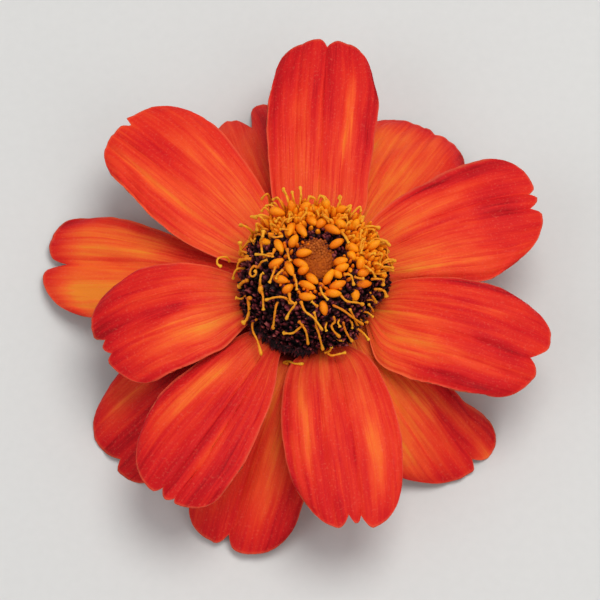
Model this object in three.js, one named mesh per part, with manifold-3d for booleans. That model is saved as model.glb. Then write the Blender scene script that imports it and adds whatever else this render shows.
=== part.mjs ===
// Zinnia flower head, picked just under the head and resting face up.
// Millimetres, +Z up. The head's axis is vertical; petals of the lower ring droop to the surface.
import * as THREE from "three";
import { mergeVertices } from "three/addons/utils/BufferGeometryUtils.js";
import Module from "manifold-3d";

const wasm = await Module();
wasm.setup();

// Driving dimensions of the petals
const ROOT_RADIUS = 6.0;
const LOWER_LEVEL = 8.7;
const UPPER_LEVEL = 9.7;
const BLADE_THICKNESS = 0.7;
const CLAW_HALF_WIDTH = 1.2;
const LOWER_CROWN = 0.8;
const UPPER_CROWN = 0.9;
const CROWN_HALF_WIDTH = 6.6;
const CLEAR_OF_SURFACE = 0.55;

// Driving dimensions of the stem and the green cup
const STEM_RADIUS = 2.25;
const STEM_BOTTOM = 0.4;
const CUP_BOTTOM = 2.0;
const CUP_TOP = 8.0;
const CUP_RADIUS = 6.5;
const BRACT_THICKNESS = 0.65;

// Driving dimensions of the disc
const NECK_RADIUS = 5.5;
const DISC_RADIUS = 8.6;
const SHOULDER_RADIUS = 6.4;
const BOSS_RADIUS = 2.3;
const GRAIN_LENGTH = 1.9;
const GRAIN_RADIUS = 0.52;
const THREAD_RADIUS = 0.26;

// Stations along a blade where its half widths are given, the claw's first
const STATIONS = [0, 0.16, 0.36, 0.6, 0.8, 1];

// Petals, clockwise from the one that points up the page.
// root and tip are directions round the axis in degrees, reach is the tip's radius,
// left and right are half widths in millimetres seen from the root towards the tip.
// cap has, for each side, the rounded end's share of the length, its squareness
// and the angle in degrees at which it meets the side; tilt makes the left part of the tip longer.
// notches are [place across, depth in mm, reach to the left, reach to the right],
// folds are [place across, depth in mm, width].
const PETALS = [
  {
    name: "petal_upper_1", layer: "upper", root: 88, tip: 87.2, reach: 32.6, bow: 0,
    left: [4.8, 5.9, 6.55, 6.65, 6.0], right: [5.1, 5.7, 6.1, 6.4, 5.5],
    cap: [[0.176, 2.5, 90], [0.16, 3.0, 80]], tilt: 0,
    notches: [[0.0, 1.05, 0.17, 0.3]], folds: [],
    tipLevel: 10.6, arch: 1.8, roll: 0,
  },
  {
    name: "petal_upper_2", layer: "upper", root: 33, tip: 21.3, reach: 28.5, bow: 0.6,
    left: [4.0, 5.4, 6.45, 7.25, 7.65], right: [3.9, 5.5, 6.8, 7.35, 6.2],
    cap: [[0.19, 3.5, 90], [0.229, 2.6, 48]], tilt: 0,
    notches: [[0.28, 0.85, 0.11, 0.1], [0.04, 1.1, 0.17, 0.14]], folds: [],
    tipLevel: 9.9, arch: 1.8, roll: 4,
  },
  {
    name: "petal_upper_3", layer: "upper", root: -22, tip: -17.5, reach: 28.0, bow: 0,
    left: [3.7, 4.9, 5.55, 5.85, 5.5], right: [5.85, 7.15, 7.45, 7.4, 6.8],
    cap: [[0.23, 3.0, 70], [0.2, 2.6, 90]], tilt: 0.4,
    notches: [[-0.15, 1.5, 0.34, 0.32]], folds: [],
    tipLevel: 10.4, arch: 2.6, roll: 5,
  },
  {
    name: "petal_upper_4", layer: "upper", root: -80, tip: -81.8, reach: 30.0, bow: 0,
    left: [4.7, 6.1, 6.85, 6.9, 6.1], right: [4.4, 5.8, 6.4, 6.35, 5.6],
    cap: [[0.195, 3.0, 60], [0.205, 2.4, 60]], tilt: 0.6,
    notches: [[-0.05, 1.75, 0.25, 0.27], [0.18, 1.6, 0.22, 0.16]], folds: [],
    tipLevel: 9.8, arch: 1.6, roll: 0,
  },
  {
    name: "petal_upper_5", layer: "upper", root: -130, tip: -124.6, reach: 31.15, bow: 0.6,
    left: [1.7, 3.5, 4.8, 5.5, 5.45], right: [3.5, 5.3, 6.9, 7.75, 7.2],
    cap: [[0.141, 2.2, 90], [0.256, 2.5, 75]], tilt: -0.3,
    notches: [[-0.055, 0.95, 0.2, 0.1], [0.275, 0.6, 0.1, 0.14]], folds: [],
    tipLevel: 9.8, arch: 1.6, roll: 3,
  },
  {
    name: "petal_upper_6", layer: "upper", root: -168, tip: -165.5, reach: 26.2, bow: -1.0,
    left: [3.5, 6.0, 7.1, 7.45, 7.45], right: [3.0, 4.9, 6.0, 6.5, 6.3],
    cap: [[0.208, 2.7, 90], [0.2525, 2.6, 70]], tilt: 0,
    notches: [[0.295, 0.85, 0.13, 0.22], [0.045, 1.0, 0.22, 0.14]], folds: [],
    tipLevel: 9.8, arch: 2.2, roll: 6,
  },
  {
    name: "petal_upper_7", layer: "upper", root: 139, tip: 138.0, reach: 31.25, bow: 0,
    left: [3.95, 5.6, 6.1, 5.6, 4.95], right: [3.7, 5.5, 6.85, 7.75, 7.5],
    cap: [[0.129, 3.2, 70], [0.2, 3.4, 80]], tilt: 0,
    notches: [[-0.16, 1.05, 0.15, 0.05], [-0.21, -0.25, 0.03, 0.16]], folds: [],
    tipLevel: 10.2, arch: 1.8, roll: 0,
  },
  {
    name: "petal_lower_1", layer: "lower", root: 58, tip: 61.0, reach: 29.0, bow: 0,
    left: [3.2, 4.8, 6.2, 6.75, 6.7], right: [3.2, 4.8, 5.9, 6.35, 6.4],
    cap: [[0.137, 3.8, 90], [0.16, 2.9, 90]], tilt: 0,
    notches: [[0.1, 0.35, 0.32, 0.14], [-0.14, 0.35, 0.14, 0.3]], folds: [],
    tipLevel: 0.9, arch: 0.9, roll: 0, touches: false,
  },
  {
    name: "petal_lower_2", layer: "lower", root: -47, tip: -46.0, reach: 26.4, bow: 0,
    left: [2.4, 3.3, 3.9, 4.3, 5.6], right: [3.2, 5.0, 6.6, 7.3, 6.9],
    cap: [[0.124, 5.0, 90], [0.183, 2.0, 50]], tilt: 0.3,
    notches: [[0.16, 0.95, 0.34, 0.14]], folds: [],
    tipLevel: 0.4, arch: 0.9, roll: 0, touches: true,
  },
  {
    name: "petal_lower_3", layer: "lower", root: -107, tip: -108.0, reach: 30.55, bow: 0,
    left: [3.4, 5.0, 6.1, 6.2, 5.95], right: [3.0, 4.6, 6.2, 6.75, 6.5],
    cap: [[0.18, 2.5, 80], [0.118, 3.2, 90]], tilt: 0.15,
    notches: [[-0.17, 1.3, 0.2, 0.22]], folds: [[-0.17, 0.7, 0.2]],
    tipLevel: 0.9, arch: 0.9, roll: 0, touches: false,
  },
  {
    name: "petal_lower_4", layer: "lower", root: -148, tip: -147.0, reach: 29.8, bow: 0,
    left: [3.0, 4.5, 6.1, 6.8, 6.7], right: [3.2, 4.7, 5.7, 6.15, 6.0],
    cap: [[0.118, 4.5, 90], [0.248, 3.0, 65]], tilt: 0,
    notches: [[0.345, 0.95, 0.16, 0.45]], folds: [],
    tipLevel: 0.4, arch: 0.9, roll: 0, touches: true,
  },
  {
    name: "petal_lower_5", layer: "lower", root: 170, tip: 166.5, reach: 33.3, bow: 0,
    left: [3.2, 4.8, 6.3, 6.9, 6.7], right: [2.4, 3.3, 5.0, 6.1, 6.1],
    cap: [[0.235, 2.3, 85], [0.099, 4.8, 90]], tilt: -0.3,
    notches: [[0.015, 1.5, 0.13, 0.13], [0.015, 1.1, 0.3, 0.5]], folds: [[0.015, 0.9, 0.2]],
    tipLevel: 0.9, arch: 0.9, roll: 0, touches: false,
  },
  {
    name: "petal_lower_6", layer: "lower", root: 112, tip: 106.5, reach: 29.4, bow: 0,
    left: [3.2, 4.8, 6.2, 6.5, 6.2], right: [3.2, 4.8, 6.0, 6.4, 6.0],
    cap: [[0.17, 2.0, 90], [0.11, 2.6, 90]], tilt: -1.2,
    notches: [[0.0, 3.0, 0.5, 0.15]], folds: [[0.05, 0.6, 0.2]],
    tipLevel: 0.4, arch: 0.9, roll: 0, touches: true,
  },
];

const TAU = Math.PI * 2;
const radians = (degrees) => (degrees * Math.PI) / 180;
const clamp = (x, low, high) => Math.min(Math.max(x, low), high);

function smooth(x, from, to) {
  const q = clamp((x - from) / (to - from), 0, 1);
  return q * q * (3 - 2 * q);
}

// Seeded random numbers, so that the small parts lie the same way every time
function seeded(seed) {
  let state = seed >>> 0;
  return () => {
    state = (state + 0x6d2b79f5) >>> 0;
    let t = state;
    t = Math.imul(t ^ (t >>> 15), t | 1);
    t ^= t + Math.imul(t ^ (t >>> 7), t | 61);
    return ((t ^ (t >>> 14)) >>> 0) / 4294967296;
  };
}

function geometryOf(points, faces) {
  const geometry = new THREE.BufferGeometry();
  const flat = [];
  for (const p of points) flat.push(p.x, p.y, p.z);
  geometry.setAttribute("position", new THREE.Float32BufferAttribute(flat, 3));
  geometry.setIndex(faces.flat());
  geometry.computeVertexNormals();
  return geometry;
}

function solidOf(geometry) {
  return new wasm.Manifold(new wasm.Mesh({
    numProp: 3,
    vertProperties: new Float32Array(geometry.attributes.position.array),
    triVerts: new Uint32Array(geometry.index.array),
  }));
}

function fused(geometries) {
  let solid = solidOf(geometries[0]);
  for (const geometry of geometries.slice(1)) solid = solid.add(solidOf(geometry));
  const mesh = solid.getMesh();
  const points = [];
  for (let i = 0; i < mesh.vertProperties.length; i += mesh.numProp) {
    points.push(new THREE.Vector3(
      mesh.vertProperties[i],
      mesh.vertProperties[i + 1],
      mesh.vertProperties[i + 2],
    ));
  }
  const faces = [];
  for (let i = 0; i < mesh.triVerts.length; i += 3) {
    faces.push([mesh.triVerts[i], mesh.triVerts[i + 1], mesh.triVerts[i + 2]]);
  }
  return geometryOf(points, faces);
}

// A closed blade from two alike grids, one for its upper face and one for its lower face
function bladeFrom(rows, columns, place) {
  const upper = [];
  const lower = [];
  for (const u of rows) {
    for (const a of columns) {
      const [top, under] = place(u, a);
      upper.push(top);
      lower.push(under);
    }
  }
  const points = upper.concat(lower);
  const width = columns.length;
  const offset = upper.length;
  const faces = [];
  for (let i = 0; i < rows.length - 1; i += 1) {
    for (let j = 0; j < width - 1; j += 1) {
      const a = i * width + j;
      const b = a + 1;
      const c = a + width;
      const d = c + 1;
      faces.push([a, c, d], [a, d, b]);
      faces.push([offset + a, offset + d, offset + c], [offset + a, offset + b, offset + d]);
    }
  }
  const rim = [];
  for (let j = 0; j < width; j += 1) rim.push(j);
  for (let i = 1; i < rows.length; i += 1) rim.push(i * width + width - 1);
  for (let j = width - 2; j >= 0; j -= 1) rim.push((rows.length - 1) * width + j);
  for (let i = rows.length - 2; i >= 1; i -= 1) rim.push(i * width);
  for (let k = 0; k < rim.length; k += 1) {
    const a = rim[k];
    const b = rim[(k + 1) % rim.length];
    faces.push([a, b, offset + b], [a, offset + b, offset + a]);
  }
  return geometryOf(points, faces);
}

// A body turned round the vertical axis, from [radius, height] pairs.
// The profile starts and ends on the axis, or closes on itself and makes a ring.
function turned(profile, segments) {
  const outline = profile.map(([radius, z]) => new THREE.Vector2(radius, z));
  const lathe = new THREE.LatheGeometry(outline, segments);
  lathe.deleteAttribute("normal");
  lathe.deleteAttribute("uv");
  lathe.rotateX(Math.PI / 2);
  const merged = mergeVertices(lathe, 1e-4);
  const index = merged.index.array;
  const kept = [];
  for (let i = 0; i < index.length; i += 3) {
    const [a, b, c] = [index[i], index[i + 1], index[i + 2]];
    if (a !== b && b !== c && c !== a) kept.push(a, b, c);
  }
  merged.setIndex(kept);
  merged.computeVertexNormals();
  return merged;
}

// A closed round body along a path, pointed at both ends; flat makes it wider than thick
function swept(path, radii, sides, flat = 1, widthHint = new THREE.Vector3(0, 0, 1)) {
  const points = [path[0].clone()];
  const last = path.length - 1;
  for (let i = 1; i < last; i += 1) {
    const along = path[i + 1].clone().sub(path[i - 1]).normalize();
    const wide = widthHint.clone().addScaledVector(along, -widthHint.dot(along)).normalize();
    const thin = new THREE.Vector3().crossVectors(along, wide);
    for (let k = 0; k < sides; k += 1) {
      const angle = (k / sides) * TAU;
      const p = path[i].clone();
      p.addScaledVector(wide, Math.cos(angle) * radii[i]);
      p.addScaledVector(thin, Math.sin(angle) * radii[i] * flat);
      points.push(p);
    }
  }
  points.push(path[last].clone());
  const faces = [];
  const ring = (i) => 1 + (i - 1) * sides;
  for (let k = 0; k < sides; k += 1) {
    const n = (k + 1) % sides;
    faces.push([0, ring(1) + n, ring(1) + k]);
    for (let i = 1; i < last - 1; i += 1) {
      faces.push([ring(i) + k, ring(i) + n, ring(i + 1) + n]);
      faces.push([ring(i) + k, ring(i + 1) + n, ring(i + 1) + k]);
    }
    faces.push([ring(last - 1) + k, ring(last - 1) + n, points.length - 1]);
  }
  return geometryOf(points, faces);
}

// Petals

// How far the rounded end draws back at t across, 0 at the middle of the tip and 1 at the margin
function capShape([, square, corner], t) {
  const edge = Math.min(Math.sin(radians(corner)), 0.9999);
  const whole = 1 - Math.sqrt(1 - edge ** square);
  return (1 - Math.sqrt(1 - (Math.abs(t) * edge) ** square)) / whole;
}

// Change of the half width along the side where it meets the rounded end
function capSlope([share, square, corner], width) {
  const edge = Math.min(Math.sin(radians(corner)), 0.9999);
  const root = Math.sqrt(1 - edge ** square);
  const steep = (square * edge ** square) / (2 * root) / (1 - root);
  return (-width * (1 - share)) / (share * steep);
}

// Smooth curve through the half widths at the stations
function halfWidth(values, cap, u) {
  let k = 0;
  while (k < STATIONS.length - 2 && u > STATIONS[k + 1]) k += 1;
  const slope = (i) => {
    if (i === 0) return 0;
    if (i === STATIONS.length - 1) return capSlope(cap, values[i]);
    return (values[i + 1] - values[i - 1]) / (STATIONS[i + 1] - STATIONS[i - 1]);
  };
  const h = STATIONS[k + 1] - STATIONS[k];
  const q = (u - STATIONS[k]) / h;
  const q2 = q * q;
  const q3 = q2 * q;
  return (2 * q3 - 3 * q2 + 1) * values[k] + (q3 - 2 * q2 + q) * slope(k) * h
    + (-2 * q3 + 3 * q2) * values[k + 1] + (q3 - q2) * slope(k + 1) * h;
}

// Middle line of a petal at the share s of its length, in the petal's own frame with its root along +X
function middle(petal, s) {
  const lean = radians(petal.tip - petal.root);
  const from = new THREE.Vector2(ROOT_RADIUS, 0);
  const to = new THREE.Vector2(Math.cos(lean), Math.sin(lean)).multiplyScalar(petal.reach);
  const way = to.clone().sub(from);
  const length = way.length();
  const side = new THREE.Vector2(-way.y, way.x).divideScalar(length);
  const bow = petal.bow * 4 * s * (1 - s);
  const level = petal.layer === "upper" ? UPPER_LEVEL : LOWER_LEVEL;
  const z = level + (petal.tipLevel - level) * Math.max(s, 0) ** 1.6
    + petal.arch * Math.sin(Math.PI * Math.min(s, 1));
  return {
    point: new THREE.Vector3(from.x + way.x * s + side.x * bow, from.y + way.y * s + side.y * bow, z),
    length,
  };
}

// Upper and lower face of a petal at u along it and a across it, a running from -1 to 1
function petalFaces(petal, u, a) {
  const t = Math.sin((a * Math.PI) / 2);
  const { length } = middle(petal, 0);
  const cap = a > 0 ? petal.cap[0] : petal.cap[1];
  const end = clamp((u - 0.7) / 0.3, 0, 1) ** 2;
  let s = u * (1 - cap[0] * capShape(cap, t)) + (petal.tilt * t * end) / length;
  for (const [place, depth, left, right] of petal.notches) {
    const part = clamp(1 - (t > place ? (t - place) / left : (place - t) / right), 0, 1);
    s -= (depth / length) * part ** 2 * end;
  }
  const step = 0.001;
  const along = middle(petal, s + step).point.sub(middle(petal, s - step).point).normalize();
  const side = new THREE.Vector3(-along.y, along.x, 0).normalize();
  const up = new THREE.Vector3().crossVectors(along, side);
  const roll = radians(petal.roll) * smooth(u, 0, 0.16);
  const wide = side.clone().multiplyScalar(Math.cos(roll)).addScaledVector(up, Math.sin(roll));
  const normal = new THREE.Vector3().crossVectors(along, wide);
  const half = halfWidth([CLAW_HALF_WIDTH, ...(a > 0 ? petal.left : petal.right)], cap, u);
  const crown = petal.layer === "upper" ? UPPER_CROWN : LOWER_CROWN;
  let rise = -crown * t * t * (half / CROWN_HALF_WIDTH) ** 2;
  for (const [place, depth, width] of petal.folds) {
    rise -= depth * Math.exp(-(((t - place) / width) ** 2)) * smooth(u, 0.2, 0.75);
  }
  const middlePoint = middle(petal, s).point.addScaledVector(wide, t * half).addScaledVector(normal, rise);
  return [
    middlePoint.clone().addScaledVector(normal, BLADE_THICKNESS / 2),
    middlePoint.clone().addScaledVector(normal, -BLADE_THICKNESS / 2),
  ];
}

function petalGeometry(petal) {
  const rows = [0, 0.08, 0.16, 0.27, 0.4, 0.54, 0.68, 0.8, 0.91, 1];
  const spread = [-1, -0.88, -0.7, -0.4, 0, 0.4, 0.7, 0.88, 1];
  const clefts = petal.notches.map(([place]) => (Math.asin(place) * 2) / Math.PI);
  const columns = spread.filter((a) => clefts.every((cleft) => Math.abs(a - cleft) > 0.13));
  for (const cleft of clefts) {
    for (const a of [cleft - 0.07, cleft, cleft + 0.07]) {
      if (columns.every((other) => Math.abs(a - other) > 0.025)) columns.push(a);
    }
  }
  columns.sort((x, y) => x - y);
  return bladeFrom(rows, columns, (u, a) => petalFaces(petal, u, a));
}

function lowestPoint(geometry) {
  geometry.computeBoundingBox();
  return geometry.boundingBox.min.z;
}

// A drooping petal's tip level is set so that its lowest point lies on the surface or just clear of it
function settledPetal(petal) {
  if (petal.layer === "upper") return petalGeometry(petal);
  const wanted = petal.touches ? 0 : CLEAR_OF_SURFACE;
  let geometry = petalGeometry(petal);
  for (let round = 0; round < 6; round += 1) {
    petal.tipLevel += wanted - lowestPoint(geometry);
    geometry = petalGeometry(petal);
  }
  return geometry;
}

// Stem stub
function stemGeometry() {
  return turned([
    [0, STEM_BOTTOM + 0.25],
    [STEM_RADIUS * 0.55, STEM_BOTTOM + 0.2],
    [STEM_RADIUS * 0.95, STEM_BOTTOM],
    [STEM_RADIUS, STEM_BOTTOM + 0.5],
    [STEM_RADIUS * 1.04, CUP_BOTTOM - 0.3],
    [0, CUP_BOTTOM - 0.3],
  ], 24);
}

// Green cup with three rows of overlapping round bracts
function cupRadius(z) {
  const q = clamp((z - CUP_BOTTOM) / (CUP_TOP - CUP_BOTTOM), 0, 1);
  return 2.3 + (CUP_RADIUS - 2.3) * Math.sin(Math.min(q * 1.25, 1) * Math.PI * 0.5) ** 0.85;
}

function cupGeometry() {
  const profile = [[0, CUP_BOTTOM]];
  for (const q of [0, 0.08, 0.2, 0.38, 0.6, 0.82, 0.96]) {
    const z = CUP_BOTTOM + (CUP_TOP - CUP_BOTTOM) * q;
    profile.push([cupRadius(z), z]);
  }
  profile.push([CUP_RADIUS - 0.35, CUP_TOP], [0, CUP_TOP]);
  const parts = [turned(profile, 36)];
  const random = seeded(11);
  const bractRows = [
    { count: 8, low: 2.15, high: 4.7, half: 2.0, lift: 0.5 },
    { count: 9, low: 3.3, high: 6.4, half: 2.3, lift: 0.4 },
    { count: 10, low: 4.8, high: 7.8, half: 2.4, lift: 0.25 },
  ];
  bractRows.forEach((row, r) => {
    for (let k = 0; k < row.count; k += 1) {
      const turn = ((k + 0.5 * (r % 2)) / row.count) * TAU + (random() - 0.5) * 0.12;
      const high = row.high + (random() - 0.5) * 0.3;
      const place = (u, a) => {
        const t = Math.sin((a * Math.PI) / 2);
        const reach = u * (1 - 0.32 * (1 - Math.cos((a * Math.PI) / 2)) * u ** 2);
        const z = row.low + (high - row.low) * reach;
        const base = cupRadius(z) + row.lift * reach * reach;
        const half = row.half * (0.62 + 0.38 * Math.sin(Math.min(u, 0.75) * 2.1));
        const angle = turn - (t * half) / Math.max(base, 3);
        const at = (radius) => new THREE.Vector3(radius * Math.cos(angle), radius * Math.sin(angle), z);
        return [at(base + BRACT_THICKNESS * (0.85 - 0.35 * t * t)), at(base - 0.5)];
      };
      parts.push(bladeFrom([0, 0.45, 0.78, 1], [-1, -0.5, 0, 0.5, 1], place));
    }
  });
  return fused(parts);
}

// Dark middle of the disc with pointed scales on its flank
const FLANK = [
  [DISC_RADIUS - 0.25, 11.6],
  [DISC_RADIUS, 12.1],
  [8.45, 12.9],
  [8.0, 14.0],
  [7.35, 15.0],
  [SHOULDER_RADIUS, 15.65],
];

function flankRadius(z) {
  for (let i = 1; i < FLANK.length; i += 1) {
    const [r0, z0] = FLANK[i - 1];
    const [r1, z1] = FLANK[i];
    if (z <= z1) return r0 + (r1 - r0) * clamp((z - z0) / (z1 - z0), 0, 1);
  }
  return SHOULDER_RADIUS;
}

function paleaeGeometry() {
  const profile = [
    [0, CUP_TOP + 0.3],
    [NECK_RADIUS, CUP_TOP + 0.3],
    [NECK_RADIUS, 10.35],
    ...FLANK,
    [SHOULDER_RADIUS - 0.5, 15.75],
    [0, 16.2],
  ];
  const parts = [turned(profile, 30)];
  const random = seeded(5);
  for (let row = 0; row < 3; row += 1) {
    const count = [15, 14, 13][row];
    for (let k = 0; k < count; k += 1) {
      const turn = ((k + 0.5 * (row % 2)) / count) * TAU + (random() - 0.5) * 0.08;
      const z = [12.2, 13.2, 14.2][row] + (random() - 0.5) * 0.3;
      const out = new THREE.Vector3(Math.cos(turn), Math.sin(turn), 0);
      const across = new THREE.Vector3(-out.y, out.x, 0);
      const radius = flankRadius(z);
      const at = (d, rise) => out.clone().multiplyScalar(radius + d).setZ(z + rise);
      const path = [at(-0.7, -0.9), at(-0.15, -0.35), at(0.18, 0.45), at(0.32, 1.15)];
      parts.push(swept(path, [0, 0.95, 0.85, 0], 4, 0.36, across));
    }
  }
  return fused(parts);
}

// Yellow ring of the shoulder with plump florets and arched threads
function floretsGeometry() {
  const ring = [
    [BOSS_RADIUS + 0.35, 16.55],
    [SHOULDER_RADIUS - 0.2, 16.05],
    [SHOULDER_RADIUS + 0.15, 16.3],
    [SHOULDER_RADIUS - 0.2, 16.75],
    [4.4, 17.2],
    [BOSS_RADIUS + 0.5, 17.3],
    [BOSS_RADIUS + 0.35, 16.55],
  ];
  const parts = [turned(ring, 28)];
  const random = seeded(23);
  const grainRows = [
    { count: 18, radius: 5.75, z: 16.75, tilt: 0.5 },
    { count: 14, radius: 4.6, z: 17.15, tilt: 0.75 },
    { count: 10, radius: 3.4, z: 17.3, tilt: 1.05 },
  ];
  grainRows.forEach((row, r) => {
    for (let k = 0; k < row.count; k += 1) {
      const turn = ((k + 0.5 * (r % 2)) / row.count) * TAU + (random() - 0.5) * 0.1;
      const tilt = row.tilt + (random() - 0.5) * 0.35;
      const lean = turn + (random() - 0.5) * 0.7;
      const way = new THREE.Vector3(
        Math.cos(lean) * Math.cos(tilt),
        Math.sin(lean) * Math.cos(tilt),
        Math.sin(tilt),
      );
      const root = new THREE.Vector3(row.radius * Math.cos(turn), row.radius * Math.sin(turn), row.z);
      const path = [-0.3, 0.1, 0.72, 1.05].map((q) => root.clone().addScaledVector(way, q * GRAIN_LENGTH));
      const radii = [0, 0.95, 1.0, 0].map((q) => q * GRAIN_RADIUS);
      parts.push(swept(path, radii, 6));
    }
  });
  const threads = 36;
  for (let k = 0; k < threads; k += 1) {
    const turn = ((k + random() * 0.5) / threads) * TAU;
    const reach = 9.1 + random() * 1.2;
    const drop = 0.9 + random() * 2.7;
    const swing = (random() - 0.5) * 0.16;
    const at = (radius, z, q) => new THREE.Vector3(
      radius * Math.cos(turn + swing * q),
      radius * Math.sin(turn + swing * q),
      z,
    );
    const crest = 16.5 + random() * 0.5;
    const path = [
      at(SHOULDER_RADIUS - 0.7, 16.4, 0),
      at(7.5, crest, 0.4),
      at((8.0 + reach) / 2, crest - drop * 0.45, 0.9),
      at(reach, crest - drop, 1.4),
      at(reach + 0.35, crest - drop - 0.35, 1.9),
    ];
    const radii = [0, 1.05, 0.95, 1.35, 0].map((q) => q * THREAD_RADIUS);
    parts.push(swept(path, radii, 4));
  }
  return fused(parts);
}

// Closed buds in the middle of the disc
function budsGeometry() {
  const parts = [turned([
    [0, 16.5],
    [BOSS_RADIUS - 0.3, 16.5],
    [BOSS_RADIUS - 0.05, 16.9],
    [BOSS_RADIUS * 0.8, 17.4],
    [BOSS_RADIUS * 0.4, 17.7],
    [0, 17.8],
  ], 18)];
  const golden = Math.PI * (3 - Math.sqrt(5));
  const count = 12;
  for (let k = 0; k < count; k += 1) {
    const radius = (BOSS_RADIUS - 0.45) * Math.sqrt((k + 0.5) / count);
    const turn = k * golden;
    const out = radius / BOSS_RADIUS;
    const z = 17.75 - 0.75 * out * out;
    const foot = new THREE.Vector3(radius * Math.cos(turn), radius * Math.sin(turn), z);
    const way = new THREE.Vector3(Math.cos(turn) * out * 0.5, Math.sin(turn) * out * 0.5, 1).normalize();
    const path = [-0.5, -0.15, 0.2, 0.38].map((q) => foot.clone().addScaledVector(way, q));
    parts.push(swept(path, [0, 0.4, 0.28, 0], 5, 1, new THREE.Vector3(1, 0.2, 0)));
  }
  return fused(parts);
}

// Materials, one for each kind of surface
const looks = {
  petal_upper: { color: 0xd8381f, roughness: 0.62 },
  petal_lower: { color: 0xdd5a24, roughness: 0.64 },
  stem: { color: 0x6f7f3a, roughness: 0.7 },
  bracts: { color: 0x54702f, roughness: 0.66 },
  paleae: { color: 0x3a0f14, roughness: 0.5 },
  florets: { color: 0xe9971c, roughness: 0.42 },
  buds: { color: 0xb0521a, roughness: 0.55 },
};

const head = new THREE.Group();

function addNode(name, geometry, look) {
  const { color, roughness } = looks[look];
  const material = new THREE.MeshStandardMaterial({ color, roughness, metalness: 0 });
  material.name = look;
  const mesh = new THREE.Mesh(geometry, material);
  mesh.name = name;
  head.add(mesh);
  return mesh;
}

addNode("stem_stub", stemGeometry(), "stem");
addNode("involucre", cupGeometry(), "bracts");
for (const petal of PETALS) {
  const mesh = addNode(petal.name, settledPetal(petal), `petal_${petal.layer}`);
  mesh.rotation.z = radians(petal.root);
}
addNode("disc_paleae", paleaeGeometry(), "paleae");
addNode("disc_florets", floretsGeometry(), "florets");
addNode("disc_buds", budsGeometry(), "buds");

// The origin is the middle of the bounding box's bottom
head.updateMatrixWorld(true);
const box = new THREE.Box3().setFromObject(head, true);
head.position.set(-(box.min.x + box.max.x) / 2, -(box.min.y + box.max.y) / 2, -box.min.z);

const group = new THREE.Group();
group.name = "zinnia_flower";
group.add(head);

export default group;
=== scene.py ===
import math
import bpy
import numpy as np
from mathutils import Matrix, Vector
from mathutils.bvhtree import BVHTree


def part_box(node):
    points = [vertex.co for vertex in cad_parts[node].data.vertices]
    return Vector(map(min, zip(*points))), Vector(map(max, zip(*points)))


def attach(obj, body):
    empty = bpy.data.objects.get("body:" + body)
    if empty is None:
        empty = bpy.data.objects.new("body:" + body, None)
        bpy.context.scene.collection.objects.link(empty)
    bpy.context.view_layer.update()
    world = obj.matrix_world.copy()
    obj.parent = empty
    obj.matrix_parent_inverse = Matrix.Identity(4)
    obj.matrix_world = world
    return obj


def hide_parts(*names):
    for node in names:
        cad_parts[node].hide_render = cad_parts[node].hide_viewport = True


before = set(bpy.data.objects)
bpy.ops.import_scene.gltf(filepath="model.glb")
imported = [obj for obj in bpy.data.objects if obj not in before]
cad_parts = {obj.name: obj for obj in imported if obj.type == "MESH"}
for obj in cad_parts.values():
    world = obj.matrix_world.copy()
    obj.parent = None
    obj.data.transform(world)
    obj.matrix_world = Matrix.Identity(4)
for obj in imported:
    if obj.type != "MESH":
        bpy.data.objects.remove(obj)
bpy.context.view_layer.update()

# Zinnia flower head: petals, disc and green cup. Sizes are in millimetres in the head's own frame,
# whose vertical axis runs through the stem stub; MM turns them into metres.
MM = 0.001
stem_low, stem_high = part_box("stem_stub")
AXIS_X = (stem_low.x + stem_high.x) / 2 / MM
AXIS_Y = (stem_low.y + stem_high.y) / 2 / MM

# Camera: looks down on the face of the flower from the front. PIXEL is the size of a pixel at the head.
ELEVATION = math.radians(66.0)
DISTANCE = 420.0
PIXEL = 0.1165
PICTURE_WIDTH = 600.0
SENSOR_WIDTH = 36.0
BASE_LEVEL = 8.7
LOOK_RIGHT = -15 * PIXEL
LOOK_UP = -6 * PIXEL
cam_up = np.array([0.0, math.sin(ELEVATION), math.cos(ELEVATION)])
cam_back = np.array([0.0, -math.cos(ELEVATION), math.sin(ELEVATION)])
cam_right = np.array([1.0, 0.0, 0.0])
look_at = np.array([0.0, 0.0, BASE_LEVEL]) + cam_right * LOOK_RIGHT + cam_up * LOOK_UP
cam_place = look_at + cam_back * DISTANCE


def to_frame(points):
    """Points of the head's frame in millimetres, as metres in the part's frame."""
    moved = np.array(points, float).reshape(-1, 3).copy()
    moved[:, 0] += AXIS_X
    moved[:, 1] += AXIS_Y
    return moved * MM


camera = bpy.data.objects.new("camera", bpy.data.cameras.new("camera"))
bpy.context.scene.collection.objects.link(camera)
camera.data.lens = DISTANCE / PIXEL * SENSOR_WIDTH / PICTURE_WIDTH
camera.data.clip_start = 0.01
camera.data.clip_end = 20.0
camera.location = Vector(to_frame(cam_place)[0])
camera.rotation_mode = "QUATERNION"
camera.rotation_quaternion = Vector(-cam_back).to_track_quat("-Z", "Y")
bpy.context.scene.camera = camera
bpy.context.scene.view_settings.view_transform = "Standard"

rng = np.random.default_rng(7)
UP = np.array([0, 0, 1.0])

# Turn and share between neighbours that spread any number of pieces evenly
GOLDEN_TURN = math.pi * (3 - math.sqrt(5))
GOLDEN_SHARE = 0.618034


# Mesh helpers

def make_object(name, points, faces):
    mesh = bpy.data.meshes.new(name)
    mesh.from_pydata([tuple(p) for p in to_frame(points)], [], [tuple(int(i) for i in f) for f in faces])
    mesh.polygons.foreach_set("use_smooth", [True] * len(mesh.polygons))
    mesh.update()
    obj = bpy.data.objects.new(name, mesh)
    bpy.context.scene.collection.objects.link(obj)
    return obj


def add_value(obj, name, values):
    layer = obj.data.attributes.new(name, "FLOAT", "POINT")
    layer.data.foreach_set("value", np.asarray(values, np.float32).ravel())


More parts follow.
